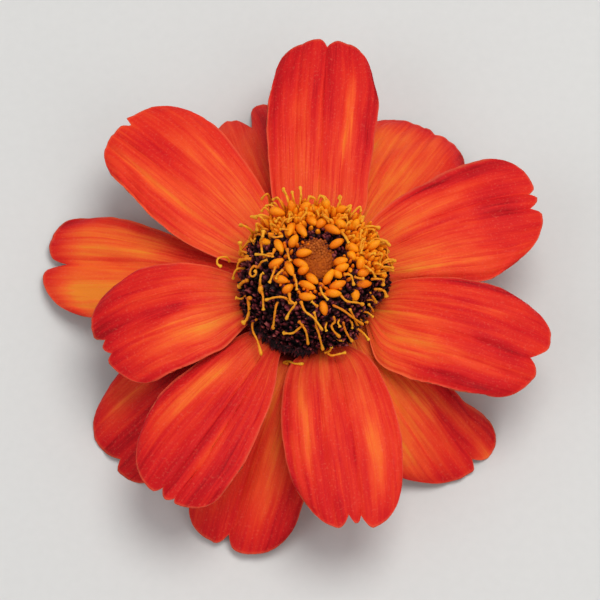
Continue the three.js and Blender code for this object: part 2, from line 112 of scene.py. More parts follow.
def finish_piece(obj, material, slot, *nodes):
    obj.data.materials.append(material)
    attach(obj, "root")
    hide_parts(*nodes)


class Soup:
    """Gathers many small closed shapes into one mesh, with values at the points."""

    def __init__(self):
        self.points = []
        self.faces = []
        self.values = {}
        self.count = 0

    def add(self, points, faces, **values):
        points = np.asarray(points, float).reshape(-1, 3)
        self.points.append(points)
        self.faces.extend([[i + self.count for i in f] for f in faces])
        for name, value in values.items():
            spread_out = np.broadcast_to(np.asarray(value, float), (len(points),))
            self.values.setdefault(name, []).append(spread_out)
        self.count += len(points)

    def build(self, name):
        obj = make_object(name, np.concatenate(self.points), self.faces)
        for key, parts in self.values.items():
            add_value(obj, key, np.concatenate(parts))
        return obj


def quick_or_full(pair):
    return pair[1]


def unit(v):
    v = np.asarray(v, float)
    return v / max(np.linalg.norm(v), 1e-9)


def outward(turn):
    """Direction away from the axis at that angle."""
    return np.array([math.cos(turn), math.sin(turn), 0])


def sideways(out):
    """Direction round the axis, a quarter turn on from out."""
    return np.array([-out[1], out[0], 0])


def turn_within(turns, share):
    """The angle at that share of the way between two directions in degrees."""
    return math.radians(turns[0] + (turns[1] - turns[0]) * share)


def smooth(x, low, high):
    """Rises softly from 0 at low to 1 at high."""
    q = np.clip((x - low) / (high - low), 0, 1)
    return q * q * (3 - 2 * q)


def wander(x, seed, octaves=3):
    """Smooth seeded one-dimensional noise in about -1..1."""
    total = np.zeros_like(x)
    for k in range(octaves):
        f = 2.0 ** k
        total += np.sin(x * f * 2.1 + seed * (k + 1.7)) * np.cos(x * f * 1.3 + seed * 2.3 * (k + 1)) / f
    return total


def curve_through(points, count):
    """Smooth path of that many points through the given ones."""
    p = np.asarray(points, float)
    p = np.vstack([2 * p[0] - p[1], p, 2 * p[-1] - p[-2]])
    path = []
    spans = len(p) - 3
    for k in range(count):
        q = k / (count - 1) * spans
        i = min(int(q), spans - 1)
        f = q - i
        a, b, c, d = p[i], p[i + 1], p[i + 2], p[i + 3]
        bent = (2 * a - 5 * b + 4 * c - d) * f * f + (3 * b - a - 3 * c + d) * f ** 3
        path.append(0.5 * (2 * b + (c - a) * f + bent))
    return np.array(path)


def skin(rings, sides):
    """Faces of a closed body: a point, that many rings, each with that many sides, and a point."""
    faces = []
    last = 1 + rings * sides
    for k in range(sides):
        n = (k + 1) % sides
        faces.append([0, 1 + n, 1 + k])
        for i in range(rings - 1):
            a = 1 + i * sides
            faces.append([a + k, a + n, a + sides + n, a + sides + k])
        a = 1 + (rings - 1) * sides
        faces.append([a + k, a + n, last])
    return faces


def tube(path, radii, sides, flat=1.0, hint=UP):
    """Closed round body along a path. radii has a value for each path point; both ends close in a point."""
    path = np.asarray(path, float)
    count = len(path)
    along = np.gradient(path, axis=0)
    points = [path[0]]
    wide = np.asarray(hint, float)
    for i in range(count):
        d = unit(along[i])
        wide = wide - d * wide.dot(d)
        if np.linalg.norm(wide) < 1e-3:
            wide = np.cross(d, (0.3, 0.5, 0.8))
        wide = unit(wide)
        thin = np.cross(d, wide)
        if 0 < i < count - 1:
            for k in range(sides):
                t = 2 * math.pi * k / sides
                points.append(path[i] + wide * math.cos(t) * radii[i] + thin * math.sin(t) * radii[i] * flat)
    points.append(path[-1])
    return np.array(points), skin(count - 2, sides)


def per_ring(shares, sides):
    """A value for each point of a tube: these at its rings, 0 at its start and 1 at its end."""
    return np.concatenate([[0.0], np.repeat(shares, sides), [1.0]])


def ring_spot(radius, turn, z):
    return outward(turn) * radius + UP * z


def turned(profile, sides, spot):
    """Closed body round the axis. spot gives the place for a radius, an angle and a level of the profile."""
    points = [np.array([0, 0, profile[0][1]])]
    for radius, z in profile[1:-1]:
        points += [spot(radius, 2 * math.pi * k / sides, z) for k in range(sides)]
    points.append(np.array([0, 0, profile[-1][1]]))
    return points, skin(len(profile) - 2, sides)


def blade_faces(rows, columns):
    """Faces of a closed blade: the grid of its upper side, the same grid of its under side, and its rim."""
    under = rows * columns
    faces = []
    for i in range(rows - 1):
        for j in range(columns - 1):
            q = i * columns + j
            faces.append([q, q + columns, q + columns + 1, q + 1])
            faces.append([under + q, under + q + 1, under + q + columns + 1, under + q + columns])
    rim = list(range(columns))
    rim += [i * columns + columns - 1 for i in range(1, rows)]
    rim += [(rows - 1) * columns + j for j in range(columns - 2, -1, -1)]
    rim += [i * columns for i in range(rows - 2, 0, -1)]
    for q, r in zip(rim, rim[1:] + rim[:1]):
        faces.append([q, r, under + r, under + q])
    return faces


# Material helpers

class Nodes:
    """Builds a material from procedural nodes that end in one Principled shader."""

    def __init__(self, name):
        self.material = bpy.data.materials.new(name)
        self.material.use_nodes = True
        self.tree = self.material.node_tree
        self.tree.nodes.clear()
        self.shader = self.tree.nodes.new("ShaderNodeBsdfPrincipled")
        output = self.tree.nodes.new("ShaderNodeOutputMaterial")
        self.link(self.shader.outputs[0], output.inputs[0])

    def link(self, a, b):
        self.tree.links.new(a, b)

    def put(self, socket, value):
        if isinstance(value, bpy.types.NodeSocket):
            self.link(value, socket)
        else:
            socket.default_value = value

    def value(self, name):
        node = self.tree.nodes.new("ShaderNodeAttribute")
        node.attribute_name = name
        return node.outputs["Fac"]

    def math(self, op, a, b=0.0, c=None, clamp=False):
        node = self.tree.nodes.new("ShaderNodeMath")
        node.operation = op
        node.use_clamp = clamp
        self.put(node.inputs[0], a)
        self.put(node.inputs[1], b)
        if c is not None:
            self.put(node.inputs[2], c)
        return node.outputs[0]

    def times(self, a, b, clamp=False):
        return self.math("MULTIPLY", a, b, clamp=clamp)

    def plus(self, a, b, clamp=False):
        return self.math("ADD", a, b, clamp=clamp)

    def minus(self, a, b):
        return self.math("SUBTRACT", a, b)

    def scaled(self, a, factor, more, clamp=False):
        """a times factor, plus more."""
        return self.math("MULTIPLY_ADD", a, factor, more, clamp)

    def combine(self, x, y, z):
        node = self.tree.nodes.new("ShaderNodeCombineXYZ")
        for socket, value in zip(node.inputs, (x, y, z)):
            self.put(socket, value)
        return node.outputs[0]

    def noise(self, vector, scale, detail=2.0, roughness=0.5, distortion=0.0):
        node = self.tree.nodes.new("ShaderNodeTexNoise")
        self.put(node.inputs["Vector"], vector)
        node.inputs["Scale"].default_value = scale
        node.inputs["Detail"].default_value = detail
        node.inputs["Roughness"].default_value = roughness
        node.inputs["Distortion"].default_value = distortion
        return node.outputs["Fac"]

    def place(self):
        return self.tree.nodes.new("ShaderNodeTexCoord").outputs["Object"]

    def ramp(self, value, stops):
        node = self.tree.nodes.new("ShaderNodeValToRGB")
        self.put(node.inputs[0], value)
        while len(node.color_ramp.elements) < len(stops):
            node.color_ramp.elements.new(0.5)
        for element, (at, colour) in zip(node.color_ramp.elements, stops):
            element.position = at
            element.color = (*colour, 1)
        return node.outputs["Color"]

    def mix(self, share, a, b):
        node = self.tree.nodes.new("ShaderNodeMix")
        node.data_type = "RGBA"
        self.put(node.inputs["Factor"], share)
        for socket, value in ((node.inputs[6], a), (node.inputs[7], b)):
            self.put(socket, value if not isinstance(value, tuple) else (*value, 1))
        return node.outputs[2]

    def bump(self, height, distance, strength):
        node = self.tree.nodes.new("ShaderNodeBump")
        node.inputs["Strength"].default_value = strength
        node.inputs["Distance"].default_value = distance
        self.put(node.inputs["Height"], height)
        return node.outputs[0]

    def surface(self, colour, roughness, normal=None, **fixed):
        self.put(self.shader.inputs["Base Color"], colour)
        self.put(self.shader.inputs["Roughness"], roughness)
        if normal is not None:
            self.link(normal, self.shader.inputs["Normal"])
        for key, value in fixed.items():
            self.shader.inputs[key.replace("_", " ")].default_value = value
        return self.material


# Petals: the same named values as the solids', with the settled tip levels of the drooping ones
ROOT_RADIUS = 6.0
LOWER_LEVEL = 8.7
UPPER_LEVEL = 9.7
CLAW = 1.2
STATIONS = (0.0, 0.16, 0.36, 0.6, 0.8, 1.0)

# Each petal runs from the angle root to the angle tip at the radius reach. left and right are its half
# widths at the stations after the first. cap is the rounded end of each side: its share of the length, its
# squareness and the angle at which it meets the side. tilt makes the left part of the tip longer. Notches are
# place across, depth and reach to either side. Folds are place across, depth and width. Grooves are places
# across. wave is how much the margin waves. tones are the colour at the root, the middle and the tip, from 0,
# yellow orange, to 1, deep red, and rim is added to them at the tip. patches are place across, width, start
# and end along, and change of tone; some that darken are painted shadows of neighbouring petals. The painted
# shade at the root is given by where it begins to fade, where it ends, and its share.
PETALS = [
    dict(name="petal_upper_1", root=88, tip=87.2, reach=32.6, bow=0, left=(4.8, 5.9, 6.55, 6.65, 6.0),
         right=(5.1, 5.7, 6.1, 6.4, 5.5), cap=((0.176, 2.5, 90), (0.16, 3.0, 80)), tilt=0,
         tip_level=10.6, arch=1.8, roll=0, notches=((0.0, 1.05, 0.17, 0.3),),
         grooves=(-0.42, 0.02, 0.5), wave=0.12, tones=(0.28, 0.56, 0.76),
         patches=((-0.48, 0.09, 0.3, 0.88, -0.46), (0.42, 0.14, 0.2, 0.75, -0.12),
                  (0.0, 0.3, 0.0, 0.4, -0.10), (-0.12, 0.05, 0.2, 0.85, 0.12),
                  (-0.88, 0.16, 0.2, 1.2, 0.15), (0.86, 0.12, 0.3, 1.2, 0.18),
                  (-0.66, 0.06, 0.2, 0.8, 0.12), (0.15, 0.06, 0.2, 0.9, 0.10))),
    dict(name="petal_upper_2", root=33, tip=21.3, reach=28.5, bow=0.6, left=(4.0, 5.4, 6.45, 7.25, 7.65),
         right=(3.9, 5.5, 6.8, 7.35, 6.2), cap=((0.19, 3.5, 90), (0.229, 2.6, 48)), tilt=0,
         tip_level=9.9, arch=1.8, roll=4, notches=((0.28, 0.85, 0.11, 0.1), (0.04, 1.1, 0.17, 0.14)),
         grooves=(-0.4, 0.04, 0.28), wave=0.2, tones=(0.18, 0.50, 0.66),
         patches=((0.42, 0.12, 0.1, 0.65, -0.26), (-0.68, 0.18, 0.1, 0.7, -0.24),
                  (0.90, 0.16, 0.1, 1.2, 0.28), (0.12, 0.32, 0.60, 0.92, 0.27),
                  (-0.25, 0.12, 0.1, 0.6, -0.12), (0.1, 0.05, 0.1, 0.6, 0.10),
                  (-0.1, 0.05, 0.1, 0.6, 0.08))),
    dict(name="petal_upper_3", root=-22, tip=-17.5, reach=28.0, bow=0, left=(3.7, 4.9, 5.55, 5.85, 5.5),
         right=(5.85, 7.15, 7.45, 7.4, 6.8), cap=((0.23, 3.0, 70), (0.2, 2.6, 90)), tilt=0.4,
         tip_level=10.4, arch=2.6, roll=5, notches=((-0.15, 1.5, 0.34, 0.32),),
         grooves=(-0.5, -0.15, 0.35), wave=0.15, tones=(0.22, 0.59, 0.70),
         patches=((-0.45, 0.18, 0.05, 0.55, -0.28), (-0.55, 0.10, 0.45, 0.8, -0.16),
                  (0.55, 0.10, 0.5, 0.9, -0.18), (-0.88, 0.14, 0.1, 1.2, 0.22),
                  (-0.12, 0.14, 0.55, 0.95, 0.22), (0.92, 0.10, 0.2, 0.9, 0.20),
                  (0.1, 0.06, 0.2, 0.7, 0.10), (0.3, 0.06, 0.1, 0.6, 0.06))),
    dict(name="petal_upper_4", root=-80, tip=-81.8, reach=30.0, bow=0, left=(4.7, 6.1, 6.85, 6.9, 6.1),
         right=(4.4, 5.8, 6.4, 6.35, 5.6), cap=((0.195, 3.0, 60), (0.205, 2.4, 60)), tilt=0.6,
         tip_level=9.8, arch=1.6, roll=0, notches=((-0.05, 1.75, 0.25, 0.27), (0.18, 1.6, 0.22, 0.16)),
         grooves=(-0.35, -0.05, 0.18), wave=0.15, tones=(0.33, 0.50, 0.70), painted_root_shade=(0.1, 0.45, 0.15),
         patches=((-0.62, 0.10, 0.15, 0.8, -0.26), (0.54, 0.12, 0.4, 0.9, -0.33),
                  (0.80, 0.08, 0.3, 0.7, -0.04), (-0.35, 0.06, 0.1, 0.8, 0.20),
                  (-0.05, 0.05, 0.1, 0.85, 0.18), (0.2, 0.06, 0.2, 0.7, 0.14),
                  (0.05, 0.10, 0.1, 0.5, -0.10), (-0.92, 0.10, 0.2, 0.95, 0.14))),
    dict(name="petal_upper_5", root=-130, tip=-124.6, reach=31.15, bow=0.6, left=(1.7, 3.5, 4.8, 5.5, 5.45),
         right=(3.5, 5.3, 6.9, 7.75, 7.2), cap=((0.141, 2.2, 90), (0.256, 2.5, 75)), tilt=-0.3,
         tip_level=9.8, arch=1.6, roll=3, notches=((-0.055, 0.95, 0.2, 0.1), (0.275, 0.6, 0.1, 0.14)),
         grooves=(-0.3, -0.05, 0.28), wave=0.15, tones=(0.34, 0.62, 0.84), painted_root_shade=(0.1, 0.45, 0.13),
         patches=((-0.62, 0.20, 0.2, 0.8, -0.43), (0.28, 0.14, 0.5, 0.85, -0.28),
                  (-0.05, 0.14, 0.3, 0.95, 0.18), (-0.2, 0.25, 0.0, 0.35, -0.12),
                  (0.75, 0.15, 0.2, 0.9, 0.04), (-0.95, 0.10, 0.2, 0.9, 0.20))),
    dict(name="petal_upper_6", root=-168, tip=-165.5, reach=26.2, bow=-1.0, left=(3.5, 6.0, 7.1, 7.45, 7.45),
         right=(3.0, 4.9, 6.0, 6.5, 6.3), cap=((0.208, 2.7, 90), (0.2525, 2.6, 70)), tilt=0,
         tip_level=9.8, arch=2.2, roll=6, notches=((0.295, 0.85, 0.13, 0.22), (0.045, 1.0, 0.22, 0.14)),
         grooves=(-0.4, 0.04, 0.3), wave=0.15, tones=(0.24, 0.55, 0.84), painted_root_shade=(0.1, 0.45, 0.15),
         patches=((0.53, 0.30, 0.15, 0.90, -0.39), (-0.30, 0.14, 0.4, 0.85, -0.20),
                  (-0.15, 0.15, 0.1, 0.5, -0.10), (-0.9, 0.14, 0.15, 0.9, 0.06),
                  (0.08, 0.12, 0.4, 0.75, 0.26))),
    dict(name="petal_upper_7", root=139, tip=138.0, reach=31.25, bow=0, left=(3.95, 5.6, 6.1, 5.6, 4.95),
         right=(3.7, 5.5, 6.85, 7.75, 7.5), cap=((0.129, 3.2, 70), (0.2, 3.4, 80)), tilt=0,
         tip_level=10.2, arch=1.8, roll=0, notches=((-0.16, 1.05, 0.15, 0.05), (-0.21, -0.25, 0.03, 0.16)),
         grooves=(-0.17, 0.2, 0.5), wave=0.2, tones=(0.12, 0.40, 0.58),
         patches=((0.45, 0.14, 0.3, 0.9, -0.24), (-0.12, 0.26, 0.6, 0.95, 0.18),
                  (-0.45, 0.12, 0.45, 0.8, -0.12), (0.8, 0.12, 0.2, 0.9, 0.06),
                  (0.1, 0.20, 0.05, 0.4, 0.05))),
    dict(name="petal_lower_1", root=58, tip=61.0, reach=29.0, bow=0, left=(3.2, 4.8, 6.2, 6.75, 6.7),
         right=(3.2, 4.8, 5.9, 6.35, 6.4), cap=((0.137, 3.8, 90), (0.16, 2.9, 90)), tilt=0,
         tip_level=0.934, arch=0.9, roll=0, notches=((0.1, 0.35, 0.32, 0.14), (-0.14, 0.35, 0.14, 0.3)),
         grooves=(-0.4, -0.1, 0.35), wave=0.25, tones=(0.06, 0.20, 0.36), rim=0.2,
         patches=((0.60, 0.20, 0.4, 0.9, -0.16), (-0.82, 0.22, 0.35, 1.2, 0.36),
                  (-0.1, 0.20, 0.6, 0.95, 0.08), (0.1, 0.60, 0.90, 1.4, 0.34))),
    dict(name="petal_lower_2", root=-47, tip=-46.0, reach=26.4, bow=0, left=(2.4, 3.3, 3.9, 4.3, 5.6),
         right=(3.2, 5.0, 6.6, 7.3, 6.9), cap=((0.124, 5.0, 90), (0.183, 2.0, 50)), tilt=0.3,
         tip_level=0.516, arch=0.9, roll=0, notches=((0.16, 0.95, 0.34, 0.14),),
         grooves=(-0.4, -0.1, 0.16), wave=0.3, tones=(0.13, 0.20, 0.56), rim=0.15,
         # the second patch here is a painted shadow of petal_upper_3
         patches=((-0.70, 0.20, 0.1, 0.85, -0.18), (0.85, 0.30, 0.2, 0.8, 0.50),
                  (0.15, 0.20, 0.6, 0.92, 0.30),
                  (-0.1, 0.08, 0.3, 0.8, 0.10), (0.3, 0.08, 0.3, 0.7, 0.08),
                  (0.48, 0.24, 0.84, 1.4, -0.62))),
    dict(name="petal_lower_3", root=-107, tip=-108.0, reach=30.55, bow=0, left=(3.4, 5.0, 6.1, 6.2, 5.95),
         right=(3.0, 4.6, 6.2, 6.75, 6.5), cap=((0.18, 2.5, 80), (0.118, 3.2, 90)), tilt=0.15,
         tip_level=1.128, arch=0.9, roll=0, notches=((-0.17, 1.3, 0.2, 0.22),), folds=((-0.17, 0.7, 0.2),),
         grooves=(-0.5, 0.35), wave=0.2, tones=(0.32, 0.35, 0.74), painted_root_shade=(0.09, 0.17, 1.0),
         patches=((0.25, 0.20, 0.4, 0.92, -0.20), (-0.05, 0.10, 0.2, 0.95, -0.10),
                  (-0.22, 0.08, 0.3, 0.95, 0.16), (0.85, 0.20, 0.3, 1.2, 0.20),
                  (-0.6, 0.20, 0.5, 0.9, -0.10), (-0.3, 0.30, 0.1, 0.45, -0.25),
                  # the last patch is painted shade: deep red at the root, in the gap under the disc
                  (0.0, 1.0, -0.2, 0.12, 0.5))),
    dict(name="petal_lower_4", root=-148, tip=-147.0, reach=29.8, bow=0, left=(3.0, 4.5, 6.1, 6.8, 6.7),
         right=(3.2, 4.7, 5.7, 6.15, 6.0), cap=((0.118, 4.5, 90), (0.248, 3.0, 65)), tilt=0,
         tip_level=0.436, arch=0.9, roll=0, notches=((0.345, 0.95, 0.16, 0.45),),
         # deep red tones all over and a root shade reaching far along: painted shade under petal_upper_5 and
         # petal_upper_6
         grooves=(-0.4, 0.0, 0.345), wave=0.25, tones=(0.80, 0.78, 0.80), painted_root_shade=(0.35, 0.72, 0.5),
         patches=((-0.42, 0.30, 0.55, 0.95, -0.44), (0.4, 0.30, 0.5, 1.2, 0.14),
                  # the last patch is a painted shadow of petal_upper_6
                  (-0.6, 0.60, 0.2, 0.66, 0.30))),
    dict(name="petal_lower_5", root=170, tip=166.5, reach=33.3, bow=0, left=(3.2, 4.8, 6.3, 6.9, 6.7),
         right=(2.4, 3.3, 5.0, 6.1, 6.1), cap=((0.235, 2.3, 85), (0.099, 4.8, 90)), tilt=-0.3,
         tip_level=1.159, arch=0.9, roll=0, notches=((0.015, 1.5, 0.13, 0.13), (0.015, 1.1, 0.3, 0.5)),
         folds=((0.015, 0.9, 0.2),), grooves=(-0.5, 0.35), wave=0.2, tones=(0.48, 0.13, 0.24), rim=0.36,
         # the second patch here is a painted shadow of petal_upper_7
         patches=((0.62, 0.30, 0.5, 0.95, -0.18), (-0.5, 0.50, 0.1, 0.5, 0.30), (-0.92, 0.14, 0.3, 1.2, 0.34),
                  (-0.35, 0.12, 0.4, 0.9, -0.06), (-0.1, 0.08, 0.2, 0.8, 0.10),
                  (0.1, 0.12, 0.3, 0.95, 0.10), (-0.5, 0.50, 0.90, 1.4, 0.24),
                  (0.5, 0.40, 0.93, 1.4, 0.18))),
    dict(name="petal_lower_6", root=112, tip=106.5, reach=29.4, bow=0, left=(3.2, 4.8, 6.2, 6.5, 6.2),
         right=(3.2, 4.8, 6.0, 6.4, 6.0), cap=((0.17, 2.0, 90), (0.11, 2.6, 90)), tilt=-1.2,
         tip_level=0.700, arch=0.9, roll=0, notches=((0.0, 3.0, 0.5, 0.15),), folds=((0.05, 0.6, 0.2),),
         grooves=(-0.5, 0.35), wave=0.2, tones=(0.34, 0.32, 0.48),
         # the second patch is a painted shadow of petal_upper_1
         patches=((0.35, 0.30, 0.3, 0.9, -0.10), (-0.3, 0.25, 0.3, 1.0, 0.46))),
]

BLADE_ROWS = (46, 92)
BLADE_COLUMNS = (33, 65)

# The points across are closer together at a notch: their offsets from it, and what they replace
NOTCH_STEPS = (-0.05, -0.028, -0.012, 0, 0.012, 0.028, 0.05)
NOTCH_CLEAR = 0.06

# How high the blade's middle stands over its margins where its half width is CROWN_HALF
UPPER_CROWN = 0.9
LOWER_CROWN = 0.8
CROWN_HALF = 6.6

# Thickness of the blade, what its edge has less and its root more
BLADE_THICK = 0.42
EDGE_THINNER = 0.27
ROOT_THICKER = 0.15

# The lowest tips sink by SETTLED under this level, and no blade goes below the floor's clearances
SETTLED_LEVEL = 0.8
SETTLED = 0.17
UNDER_CLEAR = 0.004
TOP_CLEAR = 0.02


def is_upper(p):
    return p["name"].startswith("petal_upper")


def cap_corner(cap):
    """A rounded end's squareness, how far round it goes to meet the side, and its depth there."""
    _, square, corner = cap
    edge = min(math.sin(math.radians(corner)), 0.9999)
    return square, edge, 1 - math.sqrt(1 - edge ** square)


def cap_shape(cap, t):
    """How far the rounded end draws back, 0 at the middle of the tip and 1 at the margin."""
    square, edge, whole = cap_corner(cap)
    return (1 - np.sqrt(1 - (np.abs(t) * edge) ** square)) / whole


def cap_slope(cap, width):
    """Change of the half width along the side where it meets the rounded end."""
    square, edge, whole = cap_corner(cap)
    share = cap[0]
    steep = square * edge ** square / (2 * math.sqrt(1 - edge ** square)) / whole
    return -width * (1 - share) / (share * steep)


def half_width(values, cap, u):
    """Smooth curve through the half widths at the stations, for an array of places along the petal."""
    xs = np.array(STATIONS)
    v = np.array((CLAW,) + tuple(values))
    slopes = np.zeros(len(xs))
    slopes[1:-1] = (v[2:] - v[:-2]) / (xs[2:] - xs[:-2])
    slopes[-1] = cap_slope(cap, v[-1])
    k = np.clip(np.searchsorted(xs, u, side="left") - 1, 0, len(xs) - 2)
    h = xs[k + 1] - xs[k]
    q = (u - xs[k]) / h
    return ((2 * q ** 3 - 3 * q ** 2 + 1) * v[k] + (q ** 3 - 2 * q ** 2 + q) * slopes[k] * h
            + (-2 * q ** 3 + 3 * q ** 2) * v[k + 1] + (q ** 3 - q ** 2) * slopes[k + 1] * h)


def petal_middle(p, s):
    """Places on the petal's middle line, and its length."""
    root, tip = math.radians(p["root"]), math.radians(p["tip"])
    start = ROOT_RADIUS * np.array([math.cos(root), math.sin(root)])
    end = p["reach"] * np.array([math.cos(tip), math.sin(tip)])
    way = end - start
    length = np.linalg.norm(way)
    side = np.array([-way[1], way[0]]) / length
    level = UPPER_LEVEL if is_upper(p) else LOWER_LEVEL
    bow = p["bow"] * 4 * s * (1 - s)
    x = start[0] + way[0] * s + side[0] * bow
    y = start[1] + way[1] * s + side[1] * bow
    droop = (p["tip_level"] - level) * np.maximum(s, 0) ** 1.6
    z = level + droop + p["arch"] * np.sin(math.pi * np.minimum(s, 1))
    return np.stack([x, y, z], -1), length


def blade_directions(p, s, u):
    """Middle line of the blade at each point, and the directions across it and out of its upper side."""
    step = 0.001
    middle, _ = petal_middle(p, s)
    ahead, _ = petal_middle(p, s + step)
    behind, _ = petal_middle(p, s - step)
    along = ahead - behind
    along /= np.linalg.norm(along, axis=-1, keepdims=True)
    side = np.stack([-along[..., 1], along[..., 0], np.zeros_like(s)], -1)
    side /= np.linalg.norm(side, axis=-1, keepdims=True)
    up = np.cross(along, side)
    roll = (math.radians(p["roll"]) * smooth(u, 0, 0.16))[..., None]
    wide = side * np.cos(roll) + up * np.sin(roll)
    return middle, wide, np.cross(along, wide)


def places_across(p):
    """Places across the blade from margin to margin, -1 to 1."""
    across = np.linspace(-1, 1, quick_or_full(BLADE_COLUMNS))
    for notch in p["notches"]:
        middle = math.asin(notch[0]) * 2 / math.pi
        near = [middle + d for d in NOTCH_STEPS]
        across = np.sort(np.concatenate([across[np.abs(across - middle) > NOTCH_CLEAR], near]))
    return across


def share_along(p, u, t, seed):
    """The share of the length at which each point lies, with the rounded ends, the tilt and the notches."""
    _, length = petal_middle(p, np.zeros(1))
    left_cap, right_cap = p["cap"]
    left_end = left_cap[0] * cap_shape(left_cap, t)
    right_end = right_cap[0] * cap_shape(right_cap, t)
    s = u * (1 - np.where(t > 0, left_end, right_end))
    end = np.clip((u - 0.7) / 0.3, 0, 1)
    s = s + (p["tilt"] * t - 0.05 - 0.04 * wander(t * 4, seed)) / length * end ** 2
    for place, depth, reach_left, reach_right in p["notches"]:
        part = np.clip(1 - np.where(t > place, (t - place) / reach_left, (place - t) / reach_right), 0, 1)
        s = s - depth / length * part ** 2 * end ** 2
    return s


def blade_rise(p, u, t, half, seed):
    """How high the blade's surface stands over its middle line."""
    crown = UPPER_CROWN if is_upper(p) else LOWER_CROWN
    rise = -crown * t * t * (half / CROWN_HALF) ** 2
    for place, depth, width in p.get("folds", ()):
        rise = rise - depth * np.exp(-((t - place) / width) ** 2) * smooth(u, 0.2, 0.75)
    # lengthwise grooves, fine ribs and a slightly waving margin, all shallower where the blade is narrow
    slim = np.minimum(half / 5.5, 1)
    for k, place in enumerate(p["grooves"]):
        drift = place + 0.03 * wander(u * 2 + k, seed)
        groove = 0.2 * slim * np.exp(-((t - drift) / 0.075) ** 2)
        rise = rise - groove * smooth(u, 0.02, 0.25) * (0.6 + 0.4 * u)
    ribs = np.cos(2 * math.pi * (t * 6.5 + 0.12 * wander(u * 3, seed)) + seed)
    fine = np.cos(2 * math.pi * (t * 15 + 0.2 * wander(u * 4, seed + 2)) + 2 * seed)
    ends = smooth(u, 0.0, 0.1) * (1 - 0.7 * smooth(u, 0.8, 1.0))
    rise = rise + (0.045 * ribs * ends + 0.012 * fine) * slim ** 2
    rise = rise + p["wave"] * t * t * smooth(u, 0.15, 0.6) * wander(u * 5.5 + (t > 0) * 4, seed)
    rise = rise + 0.10 * wander(u * 4 + t * 2.2, seed + 5)
    return rise - 0.30 * smooth(u, 0.86, 1.0) * smooth(np.abs(t), 0.1, 0.9)


def both_sides(p, u, t, place):
    """Points of the blade's upper and under side, half its thickness to either side of place."""
    n = np.cross(np.gradient(place, axis=0), np.gradient(place, axis=1))
    n /= np.maximum(np.linalg.norm(n, axis=-1, keepdims=True), 1e-9)
    edge = np.maximum(smooth(np.abs(t), 0.80, 1.0), smooth(u, 0.93, 1.0))
    thick = BLADE_THICK - EDGE_THINNER * edge + ROOT_THICKER * (1 - smooth(u, 0, 0.15))
    top = place + n * (thick / 2)[..., None]
    under = place - n * (thick / 2)[..., None]
    if not is_upper(p):
        under[..., 2] = np.maximum(under[..., 2], UNDER_CLEAR)
        top[..., 2] = np.maximum(top[..., 2], TOP_CLEAR)
    return np.concatenate([top.reshape(-1, 3), under.reshape(-1, 3)])


def petal_tone(p, s, u, t, seed):
    """Colour of the blade at each point, from 0, yellow orange, to 1, deep red."""
    tone = np.interp(s, (0.05, 0.5, 0.97), p["tones"])
    tone = tone + 0.07 * smooth(np.abs(t), 0.75, 1.0) + p.get("rim", 0.0) * smooth(u, 0.82, 1.0)
    for place, width, low, high, change in p["patches"]:
        soft = (high - low) * 0.35
        reach = smooth(s, low, low + soft) * (1 - smooth(s, high - soft, high + soft * 0.5))
        drift = place + 0.04 * wander(s * 3 + place * 5, seed)
        tone = tone + change * np.exp(-((t - drift) / width) ** 2) * reach
    return tone


def add_petal_values(obj, index, p, s, u, t, seed):
    """Values for the petals' material: the same on both sides, but for under and shade, the painted shade
    that only the upper side has.
    """
    margin = np.maximum(smooth(np.abs(t), 0.965, 1.0), smooth(u, 0.985, 1.0))
    tone = petal_tone(p, s, u, t, seed)
    shared = dict(along=s, across=t, seed=np.full_like(s, index * 3.71), tone=tone, margin=margin)
    for name, values in shared.items():
        add_value(obj, name, np.concatenate([values.ravel()] * 2))
    add_value(obj, "under", np.concatenate([np.zeros(s.size), np.ones(s.size)]))
    # painted shade: darkest at the root of the petal and fading out along it, on the upper side only
    shade_from, shade_to, shade_share = p.get("painted_root_shade", (0.0, 1.0, 0.0))
    dark = shade_share * (1 - smooth(s, shade_from, shade_to))
    add_value(obj, "shade", np.concatenate([dark.ravel(), np.zeros(s.size)]))


def build_petal(index, p):
    across = places_across(p)
    rows, columns = quick_or_full(BLADE_ROWS), len(across)
    u = (1 - (1 - np.linspace(0, 1, rows)) ** 1.15)[:, None] * np.ones((1, columns))
    t = np.sin(np.ones((rows, 1)) * across[None, :] * math.pi / 2)
    seed = 1.3 + index * 2.17
    s = share_along(p, u, t, seed)
    left_cap, right_cap = p["cap"]
    half = np.where(t > 0, half_width(p["left"], left_cap, u), half_width(p["right"], right_cap, u))
    half = half * (1 + 0.008 * wander(u * 6 + (t > 0) * 3, seed * 1.9, 2))
    middle, wide, normal = blade_directions(p, s, u)
    place = middle + wide * (t * half)[..., None] + normal * blade_rise(p, u, t, half, seed)[..., None]
    if not is_upper(p) and p["tip_level"] < SETTLED_LEVEL:
        place[..., 2] -= SETTLED * smooth(u, 0.6, 1.0)
    obj = make_object(p["name"] + "_fine", both_sides(p, u, t, place), blade_faces(rows, columns))
    add_petal_values(obj, index, p, s, u, t, seed)
    return obj


# Colours of the petals, from yellow orange to deep red
PETAL_RAMP = [
    (0.0, (0.88, 0.230, 0.021)),
    (0.16, (0.91, 0.140, 0.021)),
    (0.34, (0.86, 0.070, 0.018)),
    (0.55, (0.76, 0.027, 0.012)),
    (0.75, (0.64, 0.010, 0.011)),
    (0.92, (0.48, 0.004, 0.008)),
    (1.0, (0.34, 0.003, 0.006)),
]
# colour of the tiny pale points: partly painted sheen, partly specks of pollen and dust
SHEEN_AND_POLLEN_SPECKS = (0.97, 0.26, 0.15)
MARGIN_COLOUR = (0.85, 0.20, 0.08)
# colour of the painted shade at the petals' roots
PAINTED_SHADE_COLOUR = (0.016, 0.003, 0.004)
BACK_COLOURS = ((0.62, 0.13, 0.055), (0.48, 0.12, 0.045))


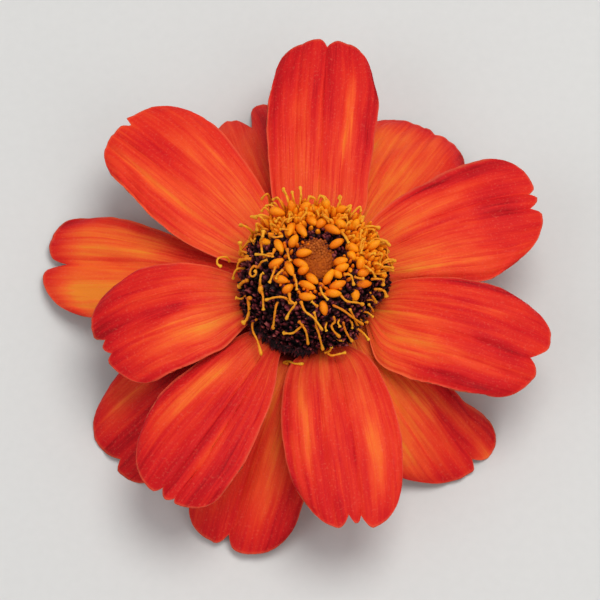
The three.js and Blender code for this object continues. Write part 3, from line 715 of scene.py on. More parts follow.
def petal_material(name):
    m = Nodes(name)
    along, across, seed = m.value("along"), m.value("across"), m.value("seed")
    tone, margin, under = m.value("tone"), m.value("margin"), m.value("under")

    def streaks(lengthwise, crosswise, detail, roughness, distortion=0.2):
        place = m.combine(m.times(along, lengthwise), m.times(across, crosswise), seed)
        return m.minus(m.noise(place, 1.0, detail, roughness, distortion), 0.5)

    broad = streaks(1.6, 5.0, 2.0, 0.5)
    narrow = streaks(2.2, 15.0, 2.0, 0.5)
    hairline = streaks(4.0, 46.0, 2.0, 0.6)
    patch = streaks(4.5, 3.0, 2.0, 0.5)
    cells = m.noise(m.place(), 4200.0, 2.0, 0.5)
    for layer, weight in ((broad, 0.56), (narrow, 0.43), (hairline, 0.20), (patch, 0.34)):
        tone = m.scaled(layer, weight, tone)
    tone = m.scaled(m.minus(cells, 0.5), 0.10, tone)
    # thin dark veins in the inner part of the blade
    off_line = m.times(m.math("ABSOLUTE", streaks(1.0, 24.0, 1.0, 0.4)), 26.0, clamp=True)
    inner = m.scaled(along, -1.25, 1.05, clamp=True)
    tone = m.scaled(m.times(m.minus(1.0, off_line), inner), 0.26, tone)
    colour = m.ramp(tone, PETAL_RAMP)
    # tiny pale points on the velvety surface: partly painted sheen of its papillae, partly specks of pollen
    # and dust
    points = m.scaled(m.noise(m.place(), 3900.0, 1.0, 0.5), 5.0, -2.85, clamp=True)
    colour = m.mix(m.times(points, 0.13), colour, SHEEN_AND_POLLEN_SPECKS)
    colour = m.mix(m.times(margin, 0.32), colour, MARGIN_COLOUR)
    # painted shade at the root, mixed towards near black
    colour = m.mix(m.value("shade"), colour, PAINTED_SHADE_COLOUR)
    back = m.mix(m.plus(narrow, 0.5), *BACK_COLOURS)
    colour = m.mix(m.times(under, 0.7), colour, back)
    height = m.scaled(narrow, 1.6, m.scaled(cells, 0.5, hairline))
    normal = m.bump(height, 0.00010, 0.5)
    return m.surface(colour, m.scaled(broad, 0.15, 0.55), normal, Specular_IOR_Level=0.10)


petal_looks = {slot: petal_material(slot) for slot in ("petal_upper", "petal_lower")}
petal_points, petal_faces = [], []
for index, p in enumerate(PETALS):
    piece = build_petal(index, p)
    petal_faces += [[i + len(petal_points) for i in face.vertices] for face in piece.data.polygons]
    petal_points += [vertex.co.copy() for vertex in piece.data.vertices]
    slot = "petal_upper" if is_upper(p) else "petal_lower"
    finish_piece(piece, petal_looks[slot], slot, p["name"])
petal_surface = BVHTree.FromPolygons(petal_points, petal_faces)


# Disc: level of its dark surface against the distance from the axis
DOME = np.array([
    (0.0, 17.05), (2.0, 17.0), (3.2, 17.0), (4.6, 16.9), (5.6, 16.55), (6.2, 16.15), (6.8, 15.55),
    (7.4, 14.85), (7.9, 14.05), (8.3, 13.0), (8.55, 12.2), (8.7, 11.2), (9.4, 10.9), (20.0, 10.9),
])

# The near right flank is drawn in over the petals' roots: its direction and breadth in degrees, and the share
DRAWN_IN_TURN = -33
DRAWN_IN_BREADTH = 19
DRAWN_IN = 0.165


def share_kept(x, y):
    """The share of the disc's radius that is left in that direction, where the disc is drawn in."""
    off = (np.degrees(np.arctan2(y, x)) - DRAWN_IN_TURN) / DRAWN_IN_BREADTH
    return 1 - DRAWN_IN * np.exp(-off ** 2) * smooth(np.hypot(x, y), 3.5, 7.0)


def kept(out, r):
    """The place at the radius r in that direction, moved inward where the disc is drawn in."""
    return out * r * share_kept(out[0] * r, out[1] * r)


def dome_level(x, y):
    return np.interp(np.hypot(x, y) / share_kept(x, y), DOME[:, 0], DOME[:, 1])


def on_dome(out, r, lift):
    """The place on the disc in that direction, at the radius r where it isn't drawn in, raised by lift."""
    x, y = kept(out, r)[:2]
    return np.array([x, y, dome_level(x, y) + lift])


# Where florets stand that show past the far rim: radius, and the level that they reach at most
FAR_RIM = 7.2
FAR_LEVEL = 17.2

# Places on the disc are read in fine steps, right and down as the camera sees it: the size of a step
# in millimetres, and the steps right and down at which the head's axis lies at BASE_LEVEL. The grains are
# read in finer steps than the threads.
THREAD_GRID = (0.01635, 784, 884)
GRAIN_GRID = (0.01165, 800, 1190)

# Between these levels a line of sight is followed down to the disc, or to its far rim, in so many places
SIGHT_TOP = 20.0
SIGHT_LOW = 8.0
SIGHT_COUNT = 1500
RIM_LOW = 14.4
RIM_COUNT = 900


def sight(x, y, grid):
    """Direction of the line from the camera through that place."""
    step, axis_x, axis_y = grid
    goal = np.array([0.0, 0.0, BASE_LEVEL]) + cam_right * (x - axis_x) * step + cam_up * (axis_y - y) * step
    return unit(goal - cam_place)


def to_level(way, z):
    """How far the line of sight goes to reach that level."""
    return (z - cam_place[2]) / way[2]


def seen(x, y, lift, grid=THREAD_GRID):
    """The place on the disc, or on the petals round it, raised by lift, that the camera sees there."""
    way = sight(x, y, grid)
    low = to_level(way, SIGHT_LOW)
    for q in np.linspace(to_level(way, SIGHT_TOP), low, SIGHT_COUNT):
        p = cam_place + way * q
        if p[2] <= dome_level(p[0], p[1]) + lift:
            return p
    return cam_place + way * low


def on_disc(x, y, lift):
    """As seen, for the grains, but what the camera sees just past the far rim stands above the rim."""
    way = sight(x, y, GRAIN_GRID)
    places = np.linspace(to_level(way, SIGHT_TOP), to_level(way, RIM_LOW), RIM_COUNT)
    line = cam_place + way * places[:, None]
    radii = np.hypot(line[:, 0], line[:, 1])
    below = line[:, 2] - dome_level(line[:, 0], line[:, 1]) - lift <= 0
    if below.any():
        return line[np.argmax(below)]
    return line[max(np.argmin(np.abs(radii - FAR_RIM)), np.argmax(line[:, 2] < FAR_LEVEL))]


def on_petal(x, y, lift):
    """The place on the petals that the camera sees there, raised by lift."""
    way = sight(x, y, THREAD_GRID)
    hit = petal_surface.ray_cast(Vector(to_frame(cam_place)[0]), Vector(way))[0]
    return np.array(hit) / MM - np.array([AXIS_X, AXIS_Y, 0]) + UP * lift


def at_level(x, y, z, grid=THREAD_GRID):
    """The place at the level z that the camera sees there."""
    way = sight(x, y, grid)
    return cam_place + way * to_level(way, z)


SCALES = (300, 1500)
SKIRT = (60, 210)
NEAR_LEFT = (30, 180)
NEAR_LEFT_TURNS = (-174, -90)
SCALE_SIDES = 6
SCALE_PATH = 7
SCALE_RADII = np.array([0, 0.27, 0.30, 0.25, 0.17, 0.07, 0])

# Body of the disc: radius and level, and the path over its surface along which the scales are spread
BODY_PROFILE = [
    (0.0, 8.45), (5.3, 8.45), (5.35, 10.5), (6.4, 11.0), (8.1, 11.75), (8.35, 12.2), (8.1, 13.0),
    (7.65, 14.0), (7.15, 14.8), (6.55, 15.45), (5.9, 16.0), (5.2, 16.4), (4.4, 16.6),
    (2.0, 16.65), (0.0, 16.65),
]
BODY_SIDES = 72
SCALE_LINE = np.array([
    (8.45, 11.95), (8.35, 12.6), (8.05, 13.5), (7.6, 14.4), (7.0, 15.2), (6.3, 15.95), (5.6, 16.45),
    (4.6, 16.8), (3.4, 16.9), (2.1, 16.9),
])


def body_spot(radius, turn, z):
    share = share_kept(radius * math.cos(turn), radius * math.sin(turn))
    return ring_spot(radius * share, turn, z)


def add_scale(soup, path, thick, wide):
    """A pointed scale along the path, flattened across the direction wide."""
    flat = 0.5 + 0.3 * rng.random()
    points, faces = tube(path, SCALE_RADII * thick, SCALE_SIDES, flat, wide)
    tip = per_ring([0.15, 0.3, 0.5, 0.75, 0.95], SCALE_SIDES)
    soup.add(points, faces, tone=rng.random() ** 1.6, tip=tip)


def add_hanging_scale(soup, base, hang, thick, out):
    size = 0.8 + 0.4 * rng.random()
    path = curve_through([base, base + hang * size * 0.5, base + hang * size], SCALE_PATH)
    add_scale(soup, path, thick + 0.4 * rng.random(), out)


def add_standing_scales(soup):
    """Scales all over the disc, spread by equal shares of its surface from the rim to the middle."""
    steps = np.linalg.norm(np.diff(SCALE_LINE, axis=0), axis=1)
    area = np.concatenate([[0], np.cumsum(steps * (SCALE_LINE[1:, 0] + SCALE_LINE[:-1, 0]) / 2)])
    count = quick_or_full(SCALES)
    for k in range(count):
        q = (k + 0.5) / count * area[-1]
        r, z = (np.interp(q, area, SCALE_LINE[:, i]) for i in (0, 1))
        r_next, z_next = (np.interp(q + area[-1] * 0.02, area, SCALE_LINE[:, i]) for i in (0, 1))
        out = outward(k * GOLDEN_TURN + rng.normal(0, 0.05))
        slope = unit(out * (r_next - r) + UP * (z_next - z))
        face = unit(np.cross(sideways(out), slope))
        if (z < 16 and face.dot(out) < 0) or (z >= 16 and face[2] < 0):
            face = -face
        base = kept(out, r) + UP * z
        # on the flank they stand more upright, and are larger and slimmer
        flank = 1 - smooth(z, 15.4, 16.6)
        rise = unit(face * (0.85 - 0.3 * flank) + UP * 0.7 * flank + rng.normal(0, 0.26, 3))
        size = (0.50 + 0.42 * rng.random()) * (0.85 + 0.20 * flank)
        bend = sideways(out) * rng.normal(0, 0.14) + face * rng.normal(0.04, 0.08)
        points = [base - rise * 0.3, base + rise * size * 0.45 + bend * 0.4, base + rise * size + bend]
        thick = (0.75 + 0.6 * rng.random()) * (1.20 - 0.25 * flank)
        add_scale(soup, curve_through(points, SCALE_PATH), thick, sideways(out) + rng.normal(0, 0.4, 3))


def build_paleae():
    soup = Soup()
    soup.add(*turned(BODY_PROFILE, BODY_SIDES, body_spot), tone=0.0, tip=0.0)
    add_standing_scales(soup)
    for k in range(quick_or_full(SKIRT)):
        out = outward(k * GOLDEN_TURN)
        base = kept(out, 7.3 + 0.7 * rng.random()) + UP * (11.5 + 0.5 * rng.random())
        hang = unit(out * (0.35 + 0.35 * rng.random()) + UP * -0.8 + rng.normal(0, 0.15, 3))
        add_hanging_scale(soup, base, hang, 0.9, out)
    for k in range(quick_or_full(NEAR_LEFT)):
        share = (k * GOLDEN_SHARE) % 1.0
        out = outward(turn_within(NEAR_LEFT_TURNS, share))
        reach = rng.random() * math.sin(math.pi * share) ** 0.5
        base = out * (7.9 + 0.9 * reach) + UP * (11.8 - 0.8 * reach)
        hang = unit(out * 0.75 + UP * -0.6 + rng.normal(0, 0.2, 3))
        add_hanging_scale(soup, base, hang, 1.0, out)
    return soup.build("disc_paleae_fine")


def paleae_material():
    m = Nodes("paleae")
    tone, tip = m.value("tone"), m.value("tip")
    grain = m.noise(m.place(), 2600.0, 3.0, 0.65)
    # The scales are lighter towards their tips and on the few with a high tone: the light end of the ramp is
    # painted glints over their near black colour.
    tone_and_painted_glint = m.scaled(tone, 0.6, m.times(grain, 0.5))
    tone_and_painted_glint = m.times(tone_and_painted_glint, m.scaled(tip, 0.75, 0.25))
    colour = m.ramp(tone_and_painted_glint, [
        (0.0, (0.003, 0.0012, 0.0015)),
        (0.20, (0.009, 0.0015, 0.003)),
        (0.40, (0.055, 0.006, 0.010)),
        (0.60, (0.21, 0.026, 0.034)),
        (1.0, (0.55, 0.15, 0.11)),
    ])
    normal = m.bump(grain, 0.00010, 0.9)
    return m.surface(colour, m.scaled(tip, -0.50, 0.85), normal, Specular_IOR_Level=0.22)


finish_piece(build_paleae(), paleae_material(), "paleae", "disc_paleae")

# Plump florets: one end and the other in the grains' steps, and the height of each above the disc
GRAINS = [
    (390, 1028, 530, 1062, 0.5), (482, 1180, 578, 1100, 0.4), (648, 1075, 802, 1135, 0.5),
    (642, 1212, 806, 1222, 0.4), (722, 1000, 826, 1082, 0.7), (890, 1092, 982, 946, 0.8),
    (985, 962, 1062, 1026, 0.4), (948, 1132, 1104, 1068, 0.5), (906, 1176, 1062, 1190, 0.4),
    (872, 1262, 902, 1402, 0.3), (1202, 1148, 1190, 1266, 0.2), (1220, 1094, 1360, 1084, 0.3),
    (1226, 998, 1338, 962, 0.4), (1238, 942, 1268, 812, 0.5), (988, 882, 1124, 846, 0.9),
    (1006, 958, 1134, 900, 0.7), (952, 724, 1086, 648, 0.7), (1112, 698, 1236, 762, 0.6),
    (1142, 786, 1186, 836, 0.3), (898, 516, 1052, 584, 0.8), (996, 466, 1108, 524, 0.6),
    (818, 520, 918, 450, 0.7), (640, 424, 786, 394, 0.7), (722, 444, 818, 496, 0.5),
    (652, 372, 748, 282, 0.5), (736, 338, 866, 378, 0.5), (562, 256, 578, 408, 0.6),
    (348, 356, 496, 392, 0.3), (372, 516, 428, 614, 0.5), (578, 490, 538, 606, 0.7),
    (620, 502, 712, 612, 0.8), (236, 682, 384, 678, 0.3), (404, 638, 482, 786, 0.7),
    (556, 722, 622, 606, 0.7), (614, 796, 764, 768, 0.9), (344, 924, 484, 846, 0.5),
    (516, 858, 582, 1012, 0.8), (588, 862, 726, 914, 0.8), (636, 984, 736, 926, 0.7),
    (888, 238, 930, 352, 0.3), (986, 386, 1108, 324, 0.5), (1172, 562, 1230, 444, 0.4),
    (1208, 566, 1266, 696, 0.6), (1264, 588, 1324, 632, 0.3), (1308, 752, 1446, 662, 0.4),
    (1346, 798, 1452, 876, 0.3),
]

# A slender half-open floret on the left flank, its radius and its tone
SLENDER = (266, 1096, 258, 1192, 0.5)
SLENDER_RADIUS = 0.36
SLENDER_TONE = 0.8

# Threads over the disc: places along each, as the camera sees them, then the height of each above the disc.
# Every one ends in a small knob.
THREADS = [
    ([(375, 1060), (340, 1090), (342, 1150), (375, 1220), (405, 1330)], (0.2, 0.9, 1.1, 1.2, 0.9)),
    ([(520, 940), (506, 972), (494, 1050), (484, 1140)], (0.2, 0.8, 1.0, 0.9)),
    ([(600, 930), (560, 908), (500, 908), (424, 930)], (0.1, 0.7, 1.0, 1.0)),
    ([(404, 866), (414, 905), (415, 955), (417, 1002)], (0.2, 0.8, 1.0, 0.9)),
    ([(600, 870), (608, 930), (640, 960), (604, 1010), (575, 1072)], (0.2, 0.9, 1.2, 1.0, 0.9)),
    ([(680, 930), (712, 1005), (775, 1055), (842, 1148)], (0.2, 0.8, 1.1, 1.0)),
    ([(792, 1118), (790, 1062), (777, 1008)], (0.4, 0.8, 1.0)),
    ([(800, 972), (780, 956), (757, 934)], (0.5, 0.9, 1.0)),
    ([(905, 960), (985, 1000), (1052, 1050), (1132, 1106)], (0.3, 1.0, 1.3, 1.1)),
    ([(1090, 1120), (1060, 1050), (1030, 988)], (0.1, 0.8, 1.2)),
    ([(915, 1040), (925, 1080), (902, 1110), (920, 1150), (966, 1196)], (1.0, 0.7, 0.6, 0.9, 1.0)),
    ([(985, 1080), (995, 1130), (1020, 1180), (1052, 1226)], (0.9, 0.7, 0.9, 0.9)),
    ([(665, 1075), (695, 1110), (722, 1160), (736, 1250)], (1.0, 0.9, 0.9, 0.9)),
    ([(705, 1100), (668, 1130), (620, 1164), (550, 1160)], (0.2, 0.8, 1.0, 0.9)),
    ([(790, 1110), (806, 1150), (822, 1210), (842, 1288)], (0.1, 0.7, 1.0, 0.9)),
    ([(850, 1305), (888, 1290), (902, 1258)], (0.2, 0.5, 0.9)),
    ([(1080, 1125), (1130, 1165), (1172, 1216)], (0.3, 1.2, 1.2)),
    ([(1110, 1005), (1160, 1018), (1202, 1052)], (0.3, 1.3, 1.2)),
    ([(1200, 1010), (1186, 985), (1165, 956)], (0.2, 1.0, 1.3)),
    ([(1172, 870), (1204, 915), (1224, 946)], (0.3, 1.2, 1.4)),
    ([(1200, 850), (1250, 850), (1284, 870), (1298, 912)], (0.4, 1.8, 2.2, 2.2)),
    ([(1180, 780), (1225, 776), (1270, 784), (1268, 826)], (0.4, 1.8, 2.2, 1.9)),
    ([(294, 892), (262, 918), (214, 910)], (0.2, 1.2, 1.6)),
    ([(180, 660), (150, 622), (96, 630), (88, 668), (122, 694)], (0.6, 1.6, 1.9, 1.9, 1.7)),
    ([(380, 700), (350, 686), (326, 712), (322, 746), (342, 760), (364, 738), (352, 710)],
     (0.2, 0.9, 1.1, 1.1, 1.0, 1.0, 1.2)),
    ([(371, 474), (358, 488), (347, 512)], (0.3, 1.2, 1.0)),
    ([(400, 530), (405, 570), (409, 610)], (0.3, 1.2, 1.0)),
    ([(418, 622), (446, 600), (476, 598), (482, 622)], (0.3, 1.2, 1.2, 0.8)),
    ([(396, 830), (393, 800), (399, 750), (420, 732)], (0.3, 0.9, 1.1, 1.0)),
    ([(870, 1300), (900, 1322), (955, 1312), (1008, 1300)], (0.3, 0.7, 0.8, 0.8)),
    ([(500, 560), (470, 612), (420, 604), (352, 602)], (0.2, 1.0, 1.2, 1.2)),
    ([(380, 700), (400, 660), (432, 644), (446, 640)], (0.1, 0.8, 1.2, 1.2)),
    ([(502, 688), (482, 748), (457, 810)], (0.3, 1.1, 1.0)),
    ([(556, 712), (520, 742), (505, 778)], (0.8, 1.2, 0.9)),
    ([(632, 742), (650, 800), (655, 860)], (1.5, 1.4, 1.0)),
    ([(585, 560), (596, 620), (608, 650)], (1.2, 1.6, 1.4)),
    ([(975, 440), (1000, 480), (1026, 522)], (1.0, 1.4, 1.0)),
    ([(835, 290), (850, 330), (905, 362)], (1.2, 1.5, 1.0)),
    ([(990, 745), (1040, 752), (1062, 826)], (1.2, 1.3, 0.8)),
    ([(1062, 760), (1090, 770), (1130, 776)], (1.1, 1.2, 1.0)),
    ([(965, 890), (1010, 935), (1080, 945), (1130, 960)], (1.0, 1.1, 1.1, 1.0)),
    ([(820, 830), (836, 880), (880, 930)], (1.2, 1.0, 0.8)),
    ([(600, 930), (606, 950), (655, 948)], (0.6, 0.9, 1.1)),
]

# Short ones between the long ones: foot, middle and end, their heights above the disc and how thick they are
SHORT_HEIGHTS = (0.1, 0.9, 1.1)
SHORT_WIDE = 0.9
SHORT_THREADS = [
    [(965, 1060), (948, 1086), (962, 1120)],
    [(1020, 1060), (1046, 1090), (1050, 1130)],
    [(1100, 1060), (1126, 1080), (1160, 1086)],
    [(1150, 930), (1186, 924), (1214, 940)],
    [(870, 1080), (858, 1120), (866, 1150)],
    [(930, 1190), (962, 1214), (990, 1216)],
]

# The ones on the left, this many times as thick
THICK = 1.45
THICK_THREADS = [
    ([(310, 628), (266, 606), (255, 560), (249, 506)], (0.2, 1.4, 2.2, 3.0)),
    ([(334, 636), (290, 634), (246, 648)], (0.3, 1.5, 1.9)),
    ([(404, 506), (411, 475), (418, 436)], (0.4, 1.2, 1.4)),
    ([(312, 784), (270, 800), (244, 832)], (0.3, 1.2, 1.4)),
    ([(334, 918), (308, 916), (316, 990), (300, 1060), (262, 1100)], (0.6, 1.0, 1.0, 1.0, 0.8)),
]

# How much higher than their heights above the disc the threads stand, clear of the scales
THREAD_RISE = 0.28

# A shed thread that lies on a petal, with its height above the petal and its tone
LOOSE_THREAD = [(600, 1385), (560, 1380), (590, 1366), (640, 1384), (708, 1386)]
LOOSE_LIFT = 0.16
LOOSE_TONE = 0.75

# Threads that stand out round the far rim: foot, middle and tip as the camera sees them, with their levels
FRINGE = [
    ([(600, 260), (582, 190), (556, 136)], (16.6, 17.3, 17.0)),
    ([(640, 250), (628, 190), (622, 160)], (16.8, 17.7, 17.4)),
    ([(676, 250), (684, 170), (680, 122)], (16.6, 17.4, 17.1)),
    ([(560, 280), (520, 200), (480, 215)], (16.5, 17.6, 16.9)),
    ([(520, 300), (470, 250), (430, 262)], (16.4, 17.2, 16.6)),
    ([(480, 330), (430, 270), (400, 300)], (16.2, 17.0, 16.3)),
    ([(455, 190), (430, 178), (400, 214)], (16.2, 16.9, 16.1)),
    ([(470, 350), (400, 320), (340, 342)], (16.2, 17.0, 16.2)),
    ([(440, 390), (390, 330), (360, 345)], (16.2, 16.9, 16.2)),
    ([(420, 420), (370, 380), (372, 440)], (16.1, 17.0, 16.0)),
    ([(330, 440), (280, 400), (246, 392)], (15.2, 16.2, 15.2)),
    ([(730, 240), (745, 190), (770, 200)], (16.9, 17.6, 17.2)),
    ([(800, 240), (820, 185), (850, 200)], (16.9, 17.6, 17.1)),
    ([(880, 240), (850, 190), (815, 186)], (16.9, 17.7, 17.4)),
    ([(940, 280), (970, 200), (960, 190)], (16.8, 17.5, 17.2)),
    ([(990, 290), (1040, 250), (1020, 300)], (16.7, 17.3, 16.9)),
    ([(1040, 330), (1100, 262), (1112, 300)], (16.5, 17.2, 16.6)),
    ([(1070, 380), (1130, 330), (1110, 380)], (16.5, 17.1, 16.6)),
    ([(1100, 430), (1180, 400), (1250, 415)], (16.3, 17.0, 16.1)),
    ([(1140, 430), (1200, 425), (1205, 460)], (16.3, 17.0, 16.2)),
    ([(1160, 500), (1240, 490), (1310, 518)], (16.2, 16.8, 15.8)),
    ([(1180, 540), (1260, 500), (1325, 545)], (16.1, 16.7, 15.6)),
    ([(1180, 620), (1260, 600), (1240, 660)], (16.1, 16.8, 15.8)),
    ([(1230, 700), (1300, 640), (1360, 650)], (15.6, 16.2, 15.2)),
    ([(1220, 720), (1280, 690), (1345, 700)], (15.5, 16.2, 15.2)),
    ([(1190, 740), (1235, 740), (1290, 736)], (15.5, 16.0, 15.2)),
    ([(560, 380), (530, 340), (500, 376)], (17.0, 17.8, 17.3)),
    ([(545, 400), (575, 352), (620, 360)], (17.2, 17.9, 17.5)),
    ([(1140, 480), (1120, 560), (1112, 590)], (17.1, 17.7, 17.3)),
    ([(1150, 700), (1190, 720), (1215, 770)], (16.5, 16.9, 16.0)),
    ([(460, 470), (500, 480), (560, 470)], (17.0, 17.8, 17.6)),
    ([(640, 340), (600, 350), (590, 372)], (17.3, 17.9, 17.5)),
]

# More threads, read in the grains' steps: over the disc, with the height of each place above it
CURLS = [
    ([(460, 505), (445, 488), (490, 462), (525, 465)], (0.5, 1.1, 1.2, 1.0)),
    ([(560, 465), (600, 432), (645, 430)], (0.5, 1.2, 1.1)),
    ([(620, 300), (634, 340), (642, 385)], (0.6, 1.3, 1.1)),
    ([(885, 370), (905, 410), (965, 465)], (0.6, 1.3, 1.1)),
    ([(1070, 580), (1110, 620), (1140, 690)], (0.6, 1.3, 1.0)),
    ([(1310, 680), (1270, 740), (1260, 790)], (0.6, 1.3, 1.2)),
]

# and at the rim, with their levels
RIM_CURLS = [
    ([(545, 270), (510, 190), (480, 130)], (16.3, 17.4, 17.0)),
    ([(585, 300), (580, 230), (570, 160)], (16.4, 17.5, 17.1)),
    ([(665, 260), (660, 190), (650, 110)], (16.5, 17.6, 17.3)),
    ([(800, 300), (795, 232), (730, 220)], (16.6, 17.7, 17.2)),
    ([(900, 330), (890, 230), (840, 210)], (16.6, 17.7, 17.2)),
    ([(1045, 330), (1050, 270), (1040, 220)], (16.4, 17.4, 17.1)),
    ([(1090, 400), (1130, 350), (1160, 300)], (16.3, 17.2, 16.8)),
    ([(490, 310), (430, 240), (370, 250)], (16.2, 17.2, 16.4)),
    ([(440, 350), (400, 282), (370, 295)], (16.1, 17.0, 16.4)),
    ([(410, 530), (300, 440), (230, 410), (150, 420)], (15.0, 16.3, 16.0, 15.2)),
    ([(260, 620), (180, 568), (120, 520), (50, 500)], (13.9, 15.0, 15.3, 14.8)),
    ([(1190, 560), (1270, 525), (1350, 510), (1450, 545)], (15.5, 16.2, 16.2, 15.3)),
    ([(1250, 620), (1340, 600), (1400, 570)], (15.5, 16.1, 15.8)),
    ([(1330, 700), (1420, 685), (1480, 688), (1550, 690)], (15.2, 15.9, 15.7, 15.2)),
    ([(1290, 660), (1390, 640), (1480, 650)], (15.5, 16.2, 15.7)),
    ([(1420, 900), (1500, 880), (1590, 850)], (14.5, 15.2, 14.6)),
    ([(1400, 1000), (1480, 960), (1590, 950)], (14.5, 15.1, 14.4)),
    ([(1440, 980), (1490, 1050), (1440, 1080)], (14.4, 14.8, 14.2)),
    ([(1430, 1150), (1490, 1160), (1510, 1220)], (14.2, 14.6, 13.8)),
]

# Half-open florets fill the far side of the disc behind the plump ones, low ones stand between the plump ones
# round the buds, and tufts of short hooked threads stand among them: count, radii and directions
FILLERS = (190, (3.6, 7.6), (-6, 141))
LOW_ONES = (56, (2.1, 4.3), (110, 380))
TUFTS = (30, (4.2, 7.3), (-6, 141))
TUFT_SHIFT = 0.3

# Threads on the far flank, which the camera doesn't see: count, directions between which they stand, levels
# between which they begin, and the lowest level of their ends
FAR_THREADS = 34
FAR_THREAD_TURNS = (8, 172)
FAR_THREAD_LEVELS = (12.9, 15.5)
FAR_THREAD_LOW = 11.9

# Kinds of floret, from plump through half open to thread, as the material reads them
PLUMP = 0.0
HALF_OPEN = 0.5
SLENDER_KIND = 0.8
THREAD = 1.0

GRAIN_SIDES = (8, 16)
GRAIN_RINGS = (8, 14)
THREAD_SIDES = (6, 10)
THREAD_PATH = (10, 24)

# A plump grain is this many times as long as it is read, between a least and a most length. Then its radius,
# and the radii of the tube below it.
GRAIN_LONGER = 1.14
GRAIN_LENGTHS = (1.45, 2.25)
GRAIN_RADIUS = 0.56
FLORET_TUBE = np.array([0, 0.26, 0.24, 0.22, 0.22, 0.24, 0.28, 0])
FLORET_TUBE_SIDES = 10


def spread(count, radii, turns, shift=0.0):
    """Directions and radii of that many places, spread evenly over part of a ring."""
    for k in range(count):
        share = (k * GOLDEN_SHARE + shift) % 1.0
        r = radii[0] + (radii[1] - radii[0]) * math.sqrt((k + 0.5) / count)
        yield outward(turn_within(turns, share)), r


def add_grain(soup, foot, end, radius, kind, tone):
    """A rounded floret from foot to end, bent upward a little and with a shallow crease."""
    sides, rings = quick_or_full(GRAIN_SIDES), quick_or_full(GRAIN_RINGS)
    bulge = unit(np.array([foot[0] * 0.12, foot[1] * 0.12, 1.0]))
    centre = (foot + end) / 2
    path = curve_through([foot, centre + bulge * 0.10, end], rings)
    q = np.linspace(0, 1, rings)
    radii = radius * (np.sin(math.pi * np.clip(q, 0, 1) ** 0.9)) ** 0.62 * (1 - 0.10 * q)
    radii[0] = radii[-1] = 0
    points, faces = tube(path, radii, sides, 0.94, bulge)
    angle = np.concatenate([[0.0], np.tile(np.arange(sides) / sides, rings - 2), [0.0]])
    crease = 1 - 0.05 * np.exp(-((angle - 0.02) / 0.05) ** 2)
    points = centre + (points - centre) * crease[:, None]
    # level runs from the lowest point of the grain to its highest; the material lightens the grain towards
    # its top: painted light and shade
    level = (points[:, 2] - points[:, 2].min()) / np.ptp(points[:, 2])
    soup.add(points, faces, kind=kind, place=per_ring(q[1:-1], sides), tone=tone, level=level)


def add_plump_grain(soup, x0, y0, x1, y1, lift):
    """A plump grain, and the tube that carries it where it stands well clear of the disc."""
    foot, end = on_disc(x0, y0, lift - 0.15), on_disc(x1, y1, lift + 0.15)
    size = np.linalg.norm(end - foot)
    centre, way = (foot + end) / 2, (end - foot) / size
    length = float(np.clip(size * GRAIN_LONGER, *GRAIN_LENGTHS))
    radius = GRAIN_RADIUS * min(1.0, 0.62 + 0.25 * length) * (0.95 + 0.1 * rng.random())
    tone = rng.random()
    add_grain(soup, centre - way * length / 2, centre + way * length / 2, radius, PLUMP, tone)
    low = min((centre - way * length * 0.3, centre + way * length * 0.3), key=lambda p: p[2])
    x, y = low[:2] * 0.93
    ground = np.array([x, y, dome_level(x, y) - 0.2])
    if low[2] - ground[2] > 0.8:
        path = curve_through([ground, (ground + low) / 2 + UP * 0.1, low], len(FLORET_TUBE))
        points, faces = tube(path, FLORET_TUBE, FLORET_TUBE_SIDES)
        # the tube under the grain has a low level, so it is painted darker, as in shade
        soup.add(points, faces, kind=HALF_OPEN, place=0.5, tone=tone, level=0.2)


def add_half_open_grains(soup):
    for out, r in spread(*FILLERS):
        foot = on_dome(out, r, -0.35)
        # those at the rim, most of all on the far side, stand taller
        tall = smooth(r, 5.2, 7.0) * smooth(out[1], -0.2, 0.7)
        way = unit(out * (0.1 + 0.11 * r - 0.35 * tall) + UP + rng.normal(0, 0.28, 3))
        length = 1.15 + 0.55 * rng.random() + 0.75 * tall
        add_grain(soup, foot, foot + way * length, 0.29 + 0.08 * rng.random(), HALF_OPEN, rng.random())
    for out, r in spread(*LOW_ONES):
        foot = on_dome(out, r, -0.15)
        way = unit(UP + rng.normal(0, 0.35, 3))
        end = foot + way * (0.95 + 0.25 * rng.random())
        add_grain(soup, foot, end, 0.20 + 0.06 * rng.random(), HALF_OPEN, -0.9 + 0.6 * rng.random())


def add_thread(soup, points, tone, wide=1.0):
    """A curled thread with a knob at its end; tone also settles how large the knob and the foot are."""
    count, sides = quick_or_full(THREAD_PATH), quick_or_full(THREAD_SIDES)
    q = np.linspace(0, 1, count)
    knob = 0.07 + 0.07 * ((tone * 7.3) % 1.0)
    head = 0.09 * max((tone * 5.1) % 1.0 - 0.4, 0) / 0.6
    lumps = 0.014 * np.sin(q * 23 + tone * 9) + 0.010 * np.sin(q * 47 + tone * 31)
    radii = 0.112 + 0.030 * (1 - q) + knob * np.exp(-((q - 0.94) / 0.06) ** 2) + lumps
    radii = (radii + head * np.exp(-((q - 0.06) / 0.06) ** 2)) * wide
    radii[0] = radii[-1] = 0
    points, faces = tube(curve_through(points, count), radii, sides)
    soup.add(points, faces, kind=THREAD, place=per_ring(q[1:-1], sides), tone=tone, level=0.6)


def rooted(points):
    """The same places, with a foot in the disc before them where the first is clear of it."""
    x, y, z = points[0] * np.array([0.96, 0.96, 1.0])
    ground = dome_level(x, y) - 0.15
    return ([np.array([x, y, ground])] if z - ground > 0.5 else []) + points


def add_threads(soup, table, spot, grid=THREAD_GRID, wide=1.0, rise=0.0, with_foot=False):
    """A thread for each entry of the table, through its places, which spot finds at its heights or levels."""
    for places, heights in table:
        points = [spot(x, y, height + rise, grid) for (x, y), height in zip(places, heights)]
        add_thread(soup, rooted(points) if with_foot else points, rng.random(), wide)


